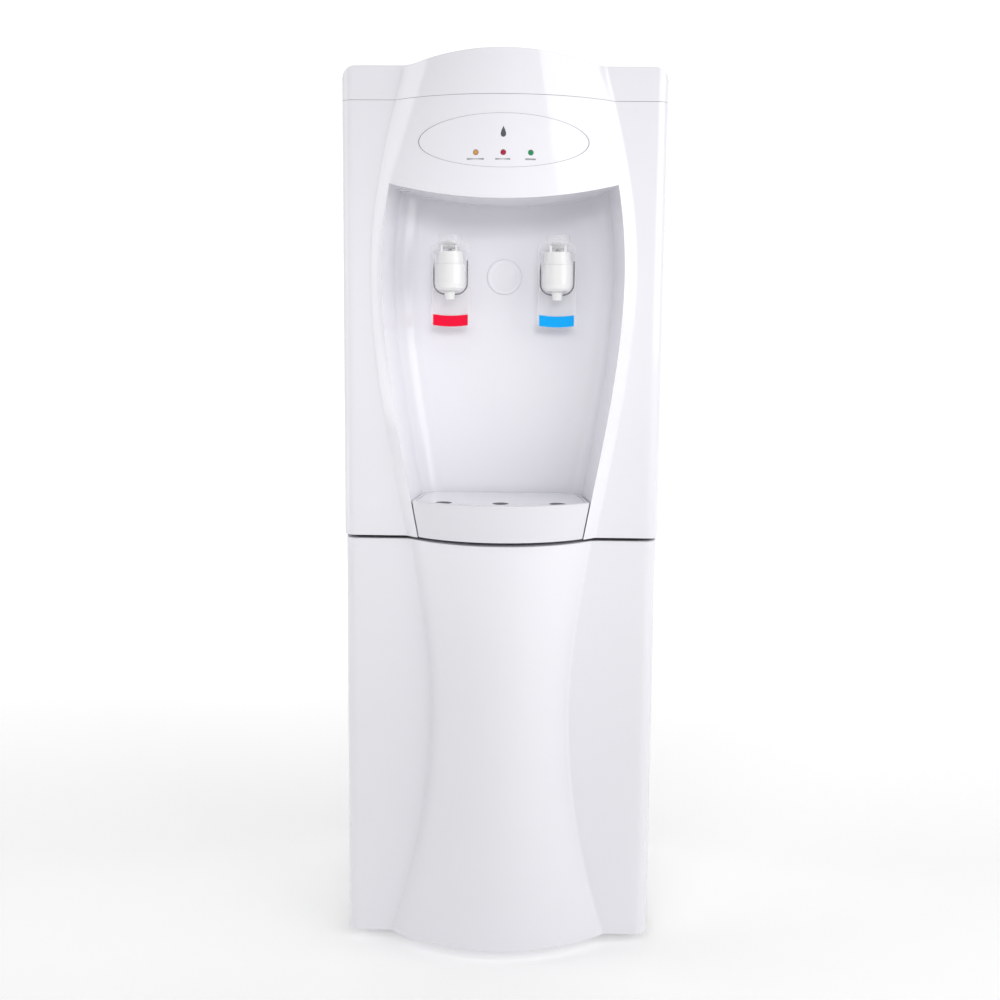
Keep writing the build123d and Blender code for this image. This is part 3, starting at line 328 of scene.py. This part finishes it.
# ---- meshes -----------------------------------------------------------------------------------
class Skin:
    """Faces gathered from grids of points, which are welded where the grids meet."""

    def __init__(self):
        self.points = []
        self.faces = []

    def grid(self, rows):
        start = len(self.points)
        width = len(rows[0])
        for row in rows:
            self.points += row
        for i in range(len(rows) - 1):
            for j in range(width - 1):
                a = start + i * width + j
                self.faces.append((a, a + 1, a + 1 + width, a + width))

    def face(self, points):
        start = len(self.points)
        self.points += points
        self.faces.append(tuple(range(start, start + len(points))))

    def mirror(self):
        count = len(self.points)
        self.points += [(-x, y, z) for x, y, z in self.points]
        self.faces += [tuple(i + count for i in reversed(face)) for face in self.faces]

    def build(self, name):
        """The welded mesh as an object, with its normals pointing out at the front."""
        work = bmesh.new()
        vertices = [work.verts.new((x * MM, y * MM, z * MM)) for x, y, z in self.points]
        for face in self.faces:
            work.faces.new([vertices[i] for i in face])
        bmesh.ops.remove_doubles(work, verts=work.verts, dist=1e-5)
        bmesh.ops.recalc_face_normals(work, faces=work.faces)
        front = min(work.faces, key=lambda face: face.calc_center_median().y)
        if front.normal.y > 0:
            bmesh.ops.reverse_faces(work, faces=work.faces)
        mesh = bpy.data.meshes.new(name)
        work.to_mesh(mesh)
        work.free()
        return place_mesh(name, mesh)


def place_mesh(name, mesh):
    new = bpy.data.objects.new(name, mesh)
    bpy.context.scene.collection.objects.link(new)
    return new


def apply_modifiers(target):
    graph = bpy.context.evaluated_depsgraph_get()
    mesh = bpy.data.meshes.new_from_object(target.evaluated_get(graph))
    target.modifiers.clear()
    target.data = mesh


def thicken(target):
    solid = target.modifiers.new("wall", "SOLIDIFY")
    solid.thickness = WALL * MM
    solid.offset = -1
    solid.use_even_offset = True
    apply_modifiers(target)


def round_edges(target, width):
    bevel = target.modifiers.new("round", "BEVEL")
    bevel.width = width * MM
    bevel.segments = 3
    bevel.limit_method = "ANGLE"
    bevel.angle_limit = radians(32)
    bevel.use_clamp_overlap = True
    apply_modifiers(target)


def combine(target, tool, operation):
    """Adds or cuts a tool object, which is then removed."""
    boolean = target.modifiers.new("combine", "BOOLEAN")
    boolean.object = tool
    boolean.operation = operation
    boolean.solver = "EXACT"
    apply_modifiers(target)
    bpy.data.objects.remove(tool)


def shade(target, material, angle=35):
    """Smooth shading that keeps flat faces flat and sharp edges sharp, inside the casing's box."""
    for vertex in target.data.vertices:
        vertex.co.x = min(max(vertex.co.x, -HALF * MM), HALF * MM)
        vertex.co.y = max(vertex.co.y, FRONT_Y * MM)
    for polygon in target.data.polygons:
        polygon.use_smooth = True
    target.data.set_sharp_from_angle(angle=radians(angle))
    normals = target.modifiers.new("normals", "WEIGHTED_NORMAL")
    normals.keep_sharp = True
    normals.weight = 60
    apply_modifiers(target)
    target.data.materials.clear()
    target.data.materials.append(MATERIALS[material])


def box_tool(low, high):
    x0, y0, z0 = low
    x1, y1, z1 = high
    corners = [(x, y, z) for z in (z0, z1) for x, y in ((x0, y0), (x1, y0), (x1, y1), (x0, y1))]
    skin = Skin()
    for face in ((3, 2, 1, 0), (4, 5, 6, 7), (0, 1, 5, 4), (1, 2, 6, 5), (2, 3, 7, 6), (3, 0, 4, 7)):
        skin.face([corners[i] for i in face])
    return skin.build("tool")


def turned_tool(outline, x, y, count):
    """A closed (radius, z) outline turned about a vertical axis."""
    rows = []
    for t in steps(count):
        turn = 2 * pi * t
        rows.append([(x + r * cos(turn), y + r * sin(turn), z) for r, z in outline + outline[:1]])
    skin = Skin()
    skin.grid(rows)
    return skin.build("tool")


def drill(x, z, y0, y1, radius, count=48):
    """A round tool that runs along Y."""
    rings = []
    for y, r in ((y0, 0.0), (y0, radius), (y1, radius), (y1, 0.0)):
        rings.append([(x + r * cos(2 * pi * t), y, z + r * sin(2 * pi * t)) for t in steps(count)])
    skin = Skin()
    skin.grid(rings)
    return skin.build("tool")


def window_points(q, turn, inset):
    """A point of the window's ellipse, scaled by q, on the bulge or inset behind it."""
    x = WINDOW_HALF[0] * q * cos(turn)
    z = WINDOW_Z + WINDOW_HALF[1] * q * sin(turn)
    return x, bulge_y(x, z, inset), z


def window_tool(depth):
    """The recess of the indicator window, cut from in front."""
    turns = [2 * pi * t for t in steps(96)]
    rings = [[window_points(q, turn, depth) for turn in turns] for q in steps(6)]
    rim = rings[-1]
    in_front = FRONT_Y - 6
    rings.append([(x, in_front, z) for x, _, z in rim])
    rings.append([(0.0, in_front, WINDOW_Z)] * len(turns))
    skin = Skin()
    skin.grid(rings)
    return skin.build("tool")


# ---- upper front panel --------------------------------------------------------------------------
HEADER_ROWS = 18
NICHE_ROWS = 56
CORNER_CUT = 30.26      # from the niche's side to the centre of its rounded back corner
NICHE_CORNER_R = 24.0
TANGENT = (23.824, -83.1)       # where the side wall meets the corner: x from its centre, and y
EDGE_STRIP = 2.2        # width of the strips beside the ceiling's edges
LAMP_DRILL_Y = (-180, -150)     # through the header
NICHE_DRILL_Y = (-70, -50)      # through the niche's back
TAP_HOLE_Z, TAP_HOLE_R = 680.0, 8.6
PLUG_HOLE_R = 13.3
WINDOW_DEPTH = 0.6


def header_point(t, rise):
    """A point of the header: t across, from 0 in the middle, and rise up from the lip. Its height
    and the bulge's width depend on each other, so both are found by repeated guesses."""
    z = WINDOW_Z
    for _ in range(12):
        x = t * niche_half(z)
        z = lerp(lip(x), PANEL_HIGH, rise)
    return x, bulge_y(x, z), z


def wall_path(z):
    """Plan outline of the right half of the niche, from its front edge to the middle of its back."""
    side = niche_half(z)
    start = (side, bulge_y(side, z))
    centre_x = side - CORNER_CUT
    meet = (centre_x + TANGENT[0], TANGENT[1])
    path = [start]
    behind_ears = EAR_Y + 6
    ledge = (behind_ears - start[1]) / (meet[1] - start[1])
    for t in (ledge, lerp(ledge, 1, 0.33), lerp(ledge, 1, 0.67), 1.0):
        path.append((lerp(start[0], meet[0], t), lerp(start[1], meet[1], t)))
    centre_y = NICHE_BACK_Y - NICHE_CORNER_R
    first = atan2(meet[1] - centre_y, TANGENT[0])
    for t in steps(10)[1:]:
        angle = lerp(first, pi / 2, t)
        path.append((centre_x + NICHE_CORNER_R * cos(angle), centre_y + NICHE_CORNER_R * sin(angle)))
    for t in steps(7)[1:]:
        path.append((lerp(centre_x, 0.0, t), NICHE_BACK_Y))
    return path


def wall_top(column):
    """Where a column of the niche's wall meets the ceiling, found by repeated guesses."""
    z = 755.0
    for _ in range(12):
        x, y = wall_path(z)[column]
        z = lip(x)
    return x, y, z


def ceiling_rows(lip_edge, tops):
    """Rows of the niche's ceiling from the lip back to the wall, each edge with a strip of even width
    beside it, so that the rounding of the edge has room."""
    corner = (tops[0][0] - EDGE_STRIP, tops[0][1] + EDGE_STRIP)
    inner_lip = [corner] + [(x, y + EDGE_STRIP) for x, y, _ in lip_edge[1:]]
    inner_wall = [corner]
    for j in range(1, len(tops)):
        before, after = tops[j - 1], tops[min(j + 1, len(tops) - 1)]
        along = Vector((after[0] - before[0], after[1] - before[1])).normalized()
        inner_wall.append((tops[j][0] - along.y * EDGE_STRIP, tops[j][1] + along.x * EDGE_STRIP))
    rows = [lip_edge]
    for t in steps(5):
        plan = [(lerp(a[0], b[0], t), lerp(a[1], b[1], t)) for a, b in zip(inner_lip, inner_wall)]
        rows.append([(x, y, lip(x)) for x, y in plan])
    rows.append(tops)
    return rows


def front_panel():
    skin = Skin()
    columns = len(wall_path(NICHE_FLOOR))
    top_z = wall_top(0)[2]
    strip_z = [PANEL_LOW] + [lerp(NICHE_FLOOR, top_z, t) for t in steps(NICHE_ROWS)]
    strip_z += [header_point(1.0, rise)[2] for rise in steps(HEADER_ROWS)[1:]]
    outer_strip = []
    for z in strip_z:
        outer_strip.append([(x, y, z) for x, y in front_path(z, niche_half(z), HALF, PANEL_BACK_Y, 5)])
    skin.grid(outer_strip)
    across = [1 - t for t in steps(columns - 1)]
    skin.grid([[header_point(t, rise) for t in across] for rise in steps(HEADER_ROWS)])
    tops = [wall_top(j) for j in range(columns)]
    rows = []
    for t in steps(NICHE_ROWS):
        row = []
        for j in range(columns):
            z = lerp(NICHE_FLOOR, tops[j][2], t)
            row.append((*wall_path(z)[j], z))
        rows.append(row)
    skin.grid(rows)
    skin.grid([[(*wall_path(PANEL_LOW)[j], PANEL_LOW) for j in (0, 1)], rows[0][:2]])
    skin.grid(ceiling_rows([header_point(t, 0.0) for t in across], tops))
    floor = rows[0]
    corner_end = columns - 8        # the last 8 columns lie on the flat back
    for j in range(1, corner_end - 1):
        a, b = floor[j], floor[j + 1]
        skin.face([a, b, (0.0, b[1], b[2]), (0.0, a[1], a[2])])
    last = floor[corner_end - 1]
    skin.face(floor[corner_end - 1:] + [(0.0, last[1], last[2])])
    skin.mirror()
    panel = skin.build("front_panel_moulding")
    thicken(panel)
    round_edges(panel, EDGE_R)
    combine(panel, window_tool(WINDOW_DEPTH), "DIFFERENCE")
    for x in LAMPS_X:
        combine(panel, drill(x, LAMP_Z, *LAMP_DRILL_Y, LAMP_R, 24), "DIFFERENCE")
    for x in TAPS_X:
        combine(panel, drill(x, TAP_HOLE_Z, *NICHE_DRILL_Y, TAP_HOLE_R), "DIFFERENCE")
    combine(panel, drill(0.0, PLUG_Z, *NICHE_DRILL_Y, PLUG_HOLE_R), "DIFFERENCE")
    shade(panel, "gloss_white")
    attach(panel, "case")
    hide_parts("front_panel")


# ---- door ---------------------------------------------------------------------------------------
GRIP_X, GRIP_Y = -138.4, -116.6         # inner side and front of the grip pocket's housing
GRIP_LOW, GRIP_HIGH = 188, 268
HINGE_X, HINGE_Y = 147, -110
HINGE_PIN_R = 2.05
BLOCK_X, BLOCK_Y = 140, -118            # inner side and front of the blocks that hold the hinge pins
BLOCK_HEIGHT = 17.8


def door_panel():
    """The door's shell, a grip pocket in its left edge and a hinge block at each right corner."""
    skin = Skin()
    rows = []
    for t in steps(64):
        z = lerp(DOOR_LOW, DOOR_HIGH, t)
        rows.append([(x, y, z) for x, y in front_path(z, 0.0, DOOR_HALF, DOOR_BACK_Y, ARC_STEPS)])
    skin.grid(rows)
    for row in (rows[0], rows[-1]):
        skin.face(row + [(0.0, DOOR_BACK_Y, row[0][2])])
    skin.mirror()
    door = skin.build("door_moulding")
    thicken(door)
    round_edges(door, EDGE_R)
    inner_y = DOOR_BACK_Y - 0.2
    housing = box_tool((-DOOR_HALF + 1, GRIP_Y, GRIP_LOW), (GRIP_X, inner_y, GRIP_HIGH))
    combine(door, housing, "UNION")
    pocket_low = (-DOOR_HALF - 1, GRIP_Y + WALL, GRIP_LOW + WALL)
    pocket_high = (GRIP_X - WALL, DOOR_BACK_Y + 1, GRIP_HIGH - WALL)
    combine(door, box_tool(pocket_low, pocket_high), "DIFFERENCE")
    for low in (DOOR_LOW + 0.2, DOOR_HIGH - 18):
        block = box_tool((BLOCK_X, BLOCK_Y, low), (DOOR_HALF - 1, inner_y, low + BLOCK_HEIGHT))
        combine(door, block, "UNION")
    for low in (DOOR_LOW - 1, DOOR_HIGH - 13):
        high = low + 14
        pin = [(0, low), (HINGE_PIN_R, low), (HINGE_PIN_R, high), (0, high)]
        combine(door, turned_tool(pin, HINGE_X, HINGE_Y, 24), "DIFFERENCE")
    shade(door, "gloss_white")
    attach(door, "door")
    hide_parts("door_panel")


# ---- top cover ----------------------------------------------------------------------------------
SHOULDER_R = 14
CROWN_Z = 882                           # top of the vault
VAULT_HALF, VAULT_RISE = 92.0, 11.0     # half the chord of the vault's arc, and its rise
RING_LOW, RING_HIGH = 868, 884          # the raised ring around the bottle well


def cover_height(x):
    """Height of the cover's top at x: a low vault, flat ears and rounded shoulders."""
    x = abs(x)
    if x > HALF - SHOULDER_R:
        return FLAT_TOP - SHOULDER_R + sqrt(max(0.0, SHOULDER_R**2 - (x - HALF + SHOULDER_R) ** 2))
    vault_r = (VAULT_HALF**2 + VAULT_RISE**2) / (2 * VAULT_RISE)
    return max(FLAT_TOP, CROWN_Z - vault_r + sqrt(vault_r**2 - min(x, VAULT_HALF) ** 2))


def cover_path(z):
    """Plan outline of the cover's right half in front, from the corner to the middle."""
    return front_path(z, 0.0, HALF, COVER_BACK_Y, ARC_STEPS)[1:]


def top_cover():
    skin = Skin()
    tops = []
    for column in range(len(cover_path(COVER_LOW))):
        z = FLAT_TOP
        for _ in range(6):
            x, y = cover_path(z)[column]
            z = cover_height(x)
        tops.append((x, y, z))
    heights = steps(5)
    front, back = [], []
    for t in heights:
        levels = [lerp(COVER_LOW, top[2], t) for top in tops]
        front.append([(*cover_path(z)[j], z) for j, z in enumerate(levels)])
        back.append([(top[0], COVER_BACK_Y, z) for top, z in zip(tops, levels)])
    skin.grid(front)
    skin.grid(back)
    depth = steps(14)
    skin.grid([[(x, lerp(y, COVER_BACK_Y, t), z) for x, y, z in tops] for t in depth])
    _, side_y, side_z = tops[0]
    side = []
    for height in heights:
        z = lerp(COVER_LOW, side_z, height)
        side.append([(HALF, lerp(side_y, COVER_BACK_Y, t), z) for t in depth])
    skin.grid(side)
    skin.mirror()
    cover = skin.build("top_cover_moulding")
    thicken(cover)
    round_edges(cover, 2 * EDGE_R)
    outer, inner = WELL_R + 13, WELL_R - 1
    ring = [(inner, RING_LOW), (outer, RING_LOW), (outer, RING_HIGH - 1)]
    ring += [(outer - 0.3, RING_HIGH - 0.3), (outer - 1, RING_HIGH), (inner, RING_HIGH)]
    combine(cover, turned_tool(ring, 0, WELL_Y, 128), "UNION")
    low, high = COVER_LOW - 40, RING_HIGH + 16
    well = [(0, low), (WELL_R, low), (WELL_R, high), (0, high)]
    combine(cover, turned_tool(well, 0, WELL_Y, 128), "DIFFERENCE")
    shade(cover, "gloss_white")
    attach(cover, "case")
    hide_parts("top_cover")


# ---- drip tray ----------------------------------------------------------------------------------
TRAY_LOW, TRAY_HIGH = 425.4, 461.5
TRAY_GAP = 1.0          # between the tray and the niche's sides
TRAY_BACK_Y = -66.0
TRAY_LEAN = 9.0         # how far each side leans in from front to back
BASIN_WALL, BASIN_FLOOR = 5.5, NICHE_FLOOR + 3.2
PLATE_WALL, PLATE_SEAT = 3.2, 458.4
DRAIN_HOLES = [(-55.0, -146.5), (0.0, -149.0), (55.0, -146.5)]
COUNTERSINK_R = 8.0


def tray_path(z, wall):
    """Plan outline of the tray's right half, moved in by wall: bulging front, side, rounded corner
    and back."""
    back_y = TRAY_BACK_Y - wall
    half = niche_half(z) - TRAY_GAP - wall
    corner = NICHE_CORNER_R - wall
    centre_y, radius = bulge_arc(z)
    radius -= wall
    side_y = centre_y - sqrt(radius**2 - half**2)
    lean = TRAY_LEAN / (back_y - side_y)
    centre_x = half - lean * (back_y - corner - side_y) - corner * sqrt(1 + lean**2)
    first = atan(lean)
    path = []
    for t in steps(16):
        angle = asin(half / radius) * t
        path.append((radius * sin(angle), centre_y - radius * cos(angle)))
    for t in steps(10):
        angle = lerp(first, pi / 2, t)
        path.append((centre_x + corner * cos(angle), back_y - corner + corner * sin(angle)))
    path.append((0.0, back_y))
    return path


def tray_block(name, low, high, wall=0.0):
    """A solid block with the tray's outline, moved in by wall all round."""
    skin = Skin()
    rows = []
    for t in steps(6):
        z = lerp(low, high, t)
        rows.append([(x, y, z) for x, y in tray_path(z, wall)])
    skin.grid(rows)
    skin.mirror()
    for row in (rows[0], rows[-1]):
        skin.face(row + [(-x, y, z) for x, y, z in row[-2:0:-1]])
    return skin.build(name)


def drip_tray():
    tray = tray_block("drip_tray_moulding", TRAY_LOW, TRAY_HIGH)
    round_edges(tray, 1.5)
    under_floor = box_tool((-HALF, -126, 420), (HALF, -60, NICHE_FLOOR + 0.6))
    combine(tray, under_floor, "DIFFERENCE")
    combine(tray, tray_block("tool", BASIN_FLOOR, PLATE_SEAT + 0.2, BASIN_WALL), "DIFFERENCE")
    combine(tray, tray_block("tool", PLATE_SEAT, TRAY_HIGH + 2, PLATE_WALL), "DIFFERENCE")
    # painted shade: the tray gets the darker copy of the casing's white
    shade(tray, "tray_white")

    # painted shade: the basin floor under the plate is made grey so that the drain holes look dark
    def on_basin_floor(centre, normal):
        return NICHE_FLOOR + 2 < centre.z < PLATE_SEAT - 1.4 and normal.z > 0.9

    paint_faces(tray.data, "basin_shade_grey", on_basin_floor)
    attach(tray, "tray")
    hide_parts("drip_tray")


def near_drain_hole(centre, normal):
    """True for the walls and countersinks of the drip plate's holes, which get the grey of painted shade.
    """
    gap = min(hypot(centre.x - x, centre.y - y) for x, y in DRAIN_HOLES)
    return gap < COUNTERSINK_R and abs(normal.z) < 0.9


front_panel()
door_panel()
top_cover()
drip_tray()
# painted shade: the drain holes' walls and countersinks are made grey so that the holes look dark
paint_faces(NODES["drip_plate"].data, "basin_shade_grey", near_drain_hole)


# ---- indicator window, plug and levers ------------------------------------------------------------
FILM_FRONT, FILM_BACK = 0.04, 0.5       # depths of the film's faces behind the bulge
BORDER = 0.986                          # share of the window at which its printed border starts
CUT_OUT_HALF = 16.9                     # the lever's cut-out, with a little room around it
CUT_OUT_LOW, CUT_OUT_HIGH = 659.0, 703.0
CUT_OUT_FRONT, CUT_OUT_BACK = -89.5, -85.0


def indicator_window():
    """A thin curved film with a printed border, set flush in the header."""
    turns = [2 * pi * t for t in steps(128)]
    reach = [0.0, 0.2, 0.4, 0.6, 0.8, 0.988, 0.998]
    rings = [[window_points(q, turn, FILM_FRONT) for turn in turns] for q in reach]
    rings += [[window_points(q, turn, FILM_BACK) for turn in turns] for q in reversed(reach)]
    skin = Skin()
    skin.grid(rings)
    film = skin.build("indicator_film")
    for x in LAMPS_X:
        combine(film, drill(x, LAMP_Z, *LAMP_DRILL_Y, LAMP_R + 0.02, 32), "DIFFERENCE")
    shade(film, "window_film")

    def on_border(centre, _):
        return hypot(centre.x / WINDOW_HALF[0], (centre.z - WINDOW_Z) / WINDOW_HALF[1]) > BORDER

    paint_faces(film.data, "print_grey", on_border)
    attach(film, "case")
    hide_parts("indicator_overlay")


def printed_patch(name, outline, material):
    """A flat print that follows the film: a closed outline of (x, z) points."""
    middle = [sum(values) / len(outline) for values in zip(*outline)]
    rings = []
    for t in steps(4):
        ring = [(lerp(middle[0], x, t), lerp(middle[1], z, t)) for x, z in outline + outline[:1]]
        rings.append([(x, bulge_y(x, z, 0.02), z) for x, z in ring])
    skin = Skin()
    skin.grid(rings)
    patch = skin.build(name)
    shade(patch, material)
    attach(patch, "case")


def bar_outline(x0, x1, z, height):
    half = height / 2
    outline = []
    for centre, start in ((x1 - half, -pi / 2), (x0 + half, pi / 2)):
        outline += [(centre + half * cos(start + pi * t), z + half * sin(start + pi * t)) for t in steps(6)]
    return outline


def window_prints():
    """A generic water drop and three plain bars under the lamps."""
    width, middle_z, half_height = 3.6, 807.6, 5.0
    drop = []
    for t in steps(40)[:-1]:
        turn = 2 * pi * t
        drop.append((width * sin(turn) * sin(turn / 2) ** 1.6, middle_z + half_height * cos(turn)))
    printed_patch("print_drop", drop, "print_dark")
    bar_z, bar_height = 782.9, 1.5
    for name, x, half in (("left", -25.6, 8.0), ("middle", -0.4, 7.0), ("right", 25.0, 5.0)):
        printed_patch(f"print_bar_{name}", bar_outline(x - half, x + half, bar_z, bar_height), "print_grey")


def plug():
    """The blanking plug: a (radius, y) outline of a shallow dish, a raised rim and a spigot behind,
    turned about an axis that runs front to back."""
    dish = [(0, -63.4), (7, -63.4), (12.2, -63.5), (13.2, -63.8), (13.8, -64.3), (14.5, -64.6)]
    rim = [(15.6, -64.6), (16.4, -64.4), (17.0, -63.9), (17.3, -63.2), (17.4, -62.1)]
    spigot = [(13.1, -62.0), (13.1, -58.2), (11.3, -58.2), (11.3, -61.0), (0, -61.0)]
    turns = [2 * pi * t for t in steps(64)]
    rings = []
    for r, y in dish + rim + spigot:
        rings.append([(r * cos(turn), y, PLUG_Z + r * sin(turn)) for turn in turns])
    skin = Skin()
    skin.grid(rings)
    new = skin.build("plug_moulding")
    shade(new, "gloss_white", 50)
    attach(new, "case")
    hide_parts("blanking_plug")


def lever(side, x):
    """The clear lever, whose cut-out edges are painted dark: painted shade for the light that these edges
    turn aside.
    """
    mesh = NODES[f"{side}_tap_lever"].data.copy()
    new = place_mesh(f"{side}_lever_clear", mesh)
    mesh.materials.clear()
    mesh.materials.append(MATERIALS["clear_plastic"])

    def edge_of_cut_out(centre, normal):
        inside = abs(centre.x - x) < CUT_OUT_HALF and CUT_OUT_LOW < centre.z < CUT_OUT_HIGH
        return inside and CUT_OUT_FRONT < centre.y < CUT_OUT_BACK and abs(normal.y) < 0.4

    paint_faces(mesh, "clear_edge_shade", edge_of_cut_out)
    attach(new, f"{side}_lever")
    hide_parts(f"{side}_tap_lever")


def tube(name, path, radius, material, body):
    """A round bead along a path of points, which starts in a point and ends flat."""
    sides = 10
    rings = []
    for i, point in enumerate(path):
        before, after = Vector(path[max(i - 1, 0)]), Vector(path[min(i + 1, len(path) - 1)])
        along = (after - before).normalized()
        out = Vector((0, 1, 0))
        across = along.cross(out).normalized()
        centre = Vector(point)
        reach = radius if i else 0.0
        turns = [2 * pi * t for t in steps(sides)]
        rings.append([tuple(centre + reach * (out * cos(turn) + across * sin(turn))) for turn in turns])
    rings.append([tuple(path[-1])] * (sides + 1))
    skin = Skin()
    skin.grid(rings)
    bead = skin.build(name)
    shade(bead, material, 60)
    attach(bead, body)


def cut_out_shade_line(side, x):
    """A thin dark tube along the lower edge of the lever's cut-out: painted shade for the dark line that
    this edge shows.
    """
    half, corner, low, y = 16.5, 11.0, 661.0, -88.7
    bend, end = 684.0, 694.0
    path = [(x - half, y, end), (x - half, y, bend)]
    for centre_x, start in ((x - half + corner, pi), (x + half - corner, -pi / 2)):
        for t in steps(8):
            turn = start + pi / 2 * t
            path.append((centre_x + corner * cos(turn), y, low + corner + corner * sin(turn)))
    path += [(x + half, y, bend), (x + half, y, end)]
    tube(f"{side}_lever_shade_line", path, 0.7, "clear_edge_shade", f"{side}_lever")


indicator_window()
window_prints()
plug()
for side, x in zip(("hot", "cold"), TAPS_X):
    lever(side, x)
    cut_out_shade_line(side, x)


# ---- stage, light and camera -------------------------------------------------------------
def make_stage():
    """A floor that sweeps up behind the object, bright enough to read as plain white."""
    near_y, bend_y, bend_r, top_z, half = -4.0, 1.6, 0.8, 4.5, 5.0
    profile = [(near_y, 0.0), (bend_y, 0.0)]
    for t in steps(12)[1:]:
        angle = pi / 2 * t
        profile.append((bend_y + bend_r * sin(angle), bend_r - bend_r * cos(angle)))
    profile.append((bend_y + bend_r, top_z))
    mesh = bpy.data.meshes.new("backdrop")
    vertices = [(x, y, z) for y, z in profile for x in (-half, half)]
    faces = [(2 * i, 2 * i + 1, 2 * i + 3, 2 * i + 2) for i in range(len(profile) - 1)]
    mesh.from_pydata(vertices, [], faces)
    for polygon in mesh.polygons:
        polygon.use_smooth = True
    backdrop = bpy.data.objects.new("backdrop", mesh)
    bpy.context.scene.collection.objects.link(backdrop)
    material, tree, shader = new_material("backdrop_white")
    shader.inputs["Base Color"].default_value = (0.9, 0.9, 0.9, 1)
    shader.inputs["Roughness"].default_value = 0.9
    shader.inputs["Specular IOR Level"].default_value = 0.0
    shader.inputs["Emission Color"].default_value = (1, 1, 1, 1)
    coordinates = tree.nodes.new("ShaderNodeTexCoord")
    parts = tree.nodes.new("ShaderNodeSeparateXYZ")
    tree.links.new(coordinates.outputs["Object"], parts.inputs["Vector"])
    glow = tree.nodes.new("ShaderNodeMapRange")
    glow.inputs["From Min"].default_value = 0.1
    glow.inputs["From Max"].default_value = 1.6
    glow.inputs["To Min"].default_value = 0.25
    glow.inputs["To Max"].default_value = 0.6
    tree.links.new(parts.outputs["Y"], glow.inputs["Value"])
    tree.links.new(glow.outputs["Result"], shader.inputs["Emission Strength"])
    mesh.materials.append(material)


def soft_box(name, azimuth, distance, height, size, radiance, aim=0.5):
    """A softbox aimed at the object's front at height aim; azimuth is in degrees from the front,
    positive to the right."""
    target = Vector((0, -0.1, aim))
    turn = radians(azimuth)
    place = Vector((distance * sin(turn), target.y - distance * cos(turn), height))
    data = bpy.data.lights.new(name, "AREA")
    data.shape = "RECTANGLE"
    data.size, data.size_y = size
    data.energy = radiance * pi * size[0] * size[1]
    light = bpy.data.objects.new(name, data)
    light.location = place
    light.rotation_euler = (target - place).to_track_quat("-Z", "Y").to_euler()
    bpy.context.scene.collection.objects.link(light)
    return light


SKY_LIGHT = 0.25


def light_scene():
    """A sky that is white to the camera and dim as a light, and five softboxes; the front and niche
    boxes are kept out of reflections."""
    world = bpy.data.worlds.new("studio")
    world.use_nodes = True
    tree = world.node_tree
    background = tree.nodes["Background"]
    background.inputs["Color"].default_value = (1, 1, 1, 1)
    rays = tree.nodes.new("ShaderNodeLightPath")
    strength = tree.nodes.new("ShaderNodeMapRange")
    strength.inputs["To Min"].default_value = SKY_LIGHT
    strength.inputs["To Max"].default_value = 1.0
    tree.links.new(rays.outputs["Is Camera Ray"], strength.inputs["Value"])
    tree.links.new(strength.outputs["Result"], background.inputs["Strength"])
    bpy.context.scene.world = world
    soft_box("key_box", 60, 1.9, 1.15, (2.1, 1.3), 1.95)
    soft_box("left_box", -87, 1.8, 0.9, (0.8, 1.6), 1.7)
    front = soft_box("front_box", -8, 2.0, 1.35, (1.3, 0.6), 2.45)
    front.visible_glossy = False
    niche = soft_box("niche_box", 8, 1.5, 1.05, (0.35, 0.3), 0.36, aim=0.61)
    niche.data.spread = radians(24)
    niche.visible_glossy = False
    soft_box("top_box", 4, 1.4, 2.3, (1.8, 0.8), 1.3)


def place_camera():
    data = bpy.data.cameras.new("camera")
    data.sensor_width = 36.0
    data.lens = 47.70
    camera = bpy.data.objects.new("camera", data)
    camera.location = (0.02656, -1.41445, 0.64656)
    pan = Matrix.Rotation(radians(1.224), 3, "Z")
    tilt = Matrix.Rotation(radians(90 - 8.187), 3, "X")
    roll = Matrix.Rotation(radians(0.528), 3, "Z")
    camera.rotation_euler = (pan @ tilt @ roll).to_euler()
    bpy.context.scene.collection.objects.link(camera)
    bpy.context.scene.camera = camera


make_stage()
light_scene()
place_camera()
bpy.context.scene.view_settings.view_transform = "Standard"
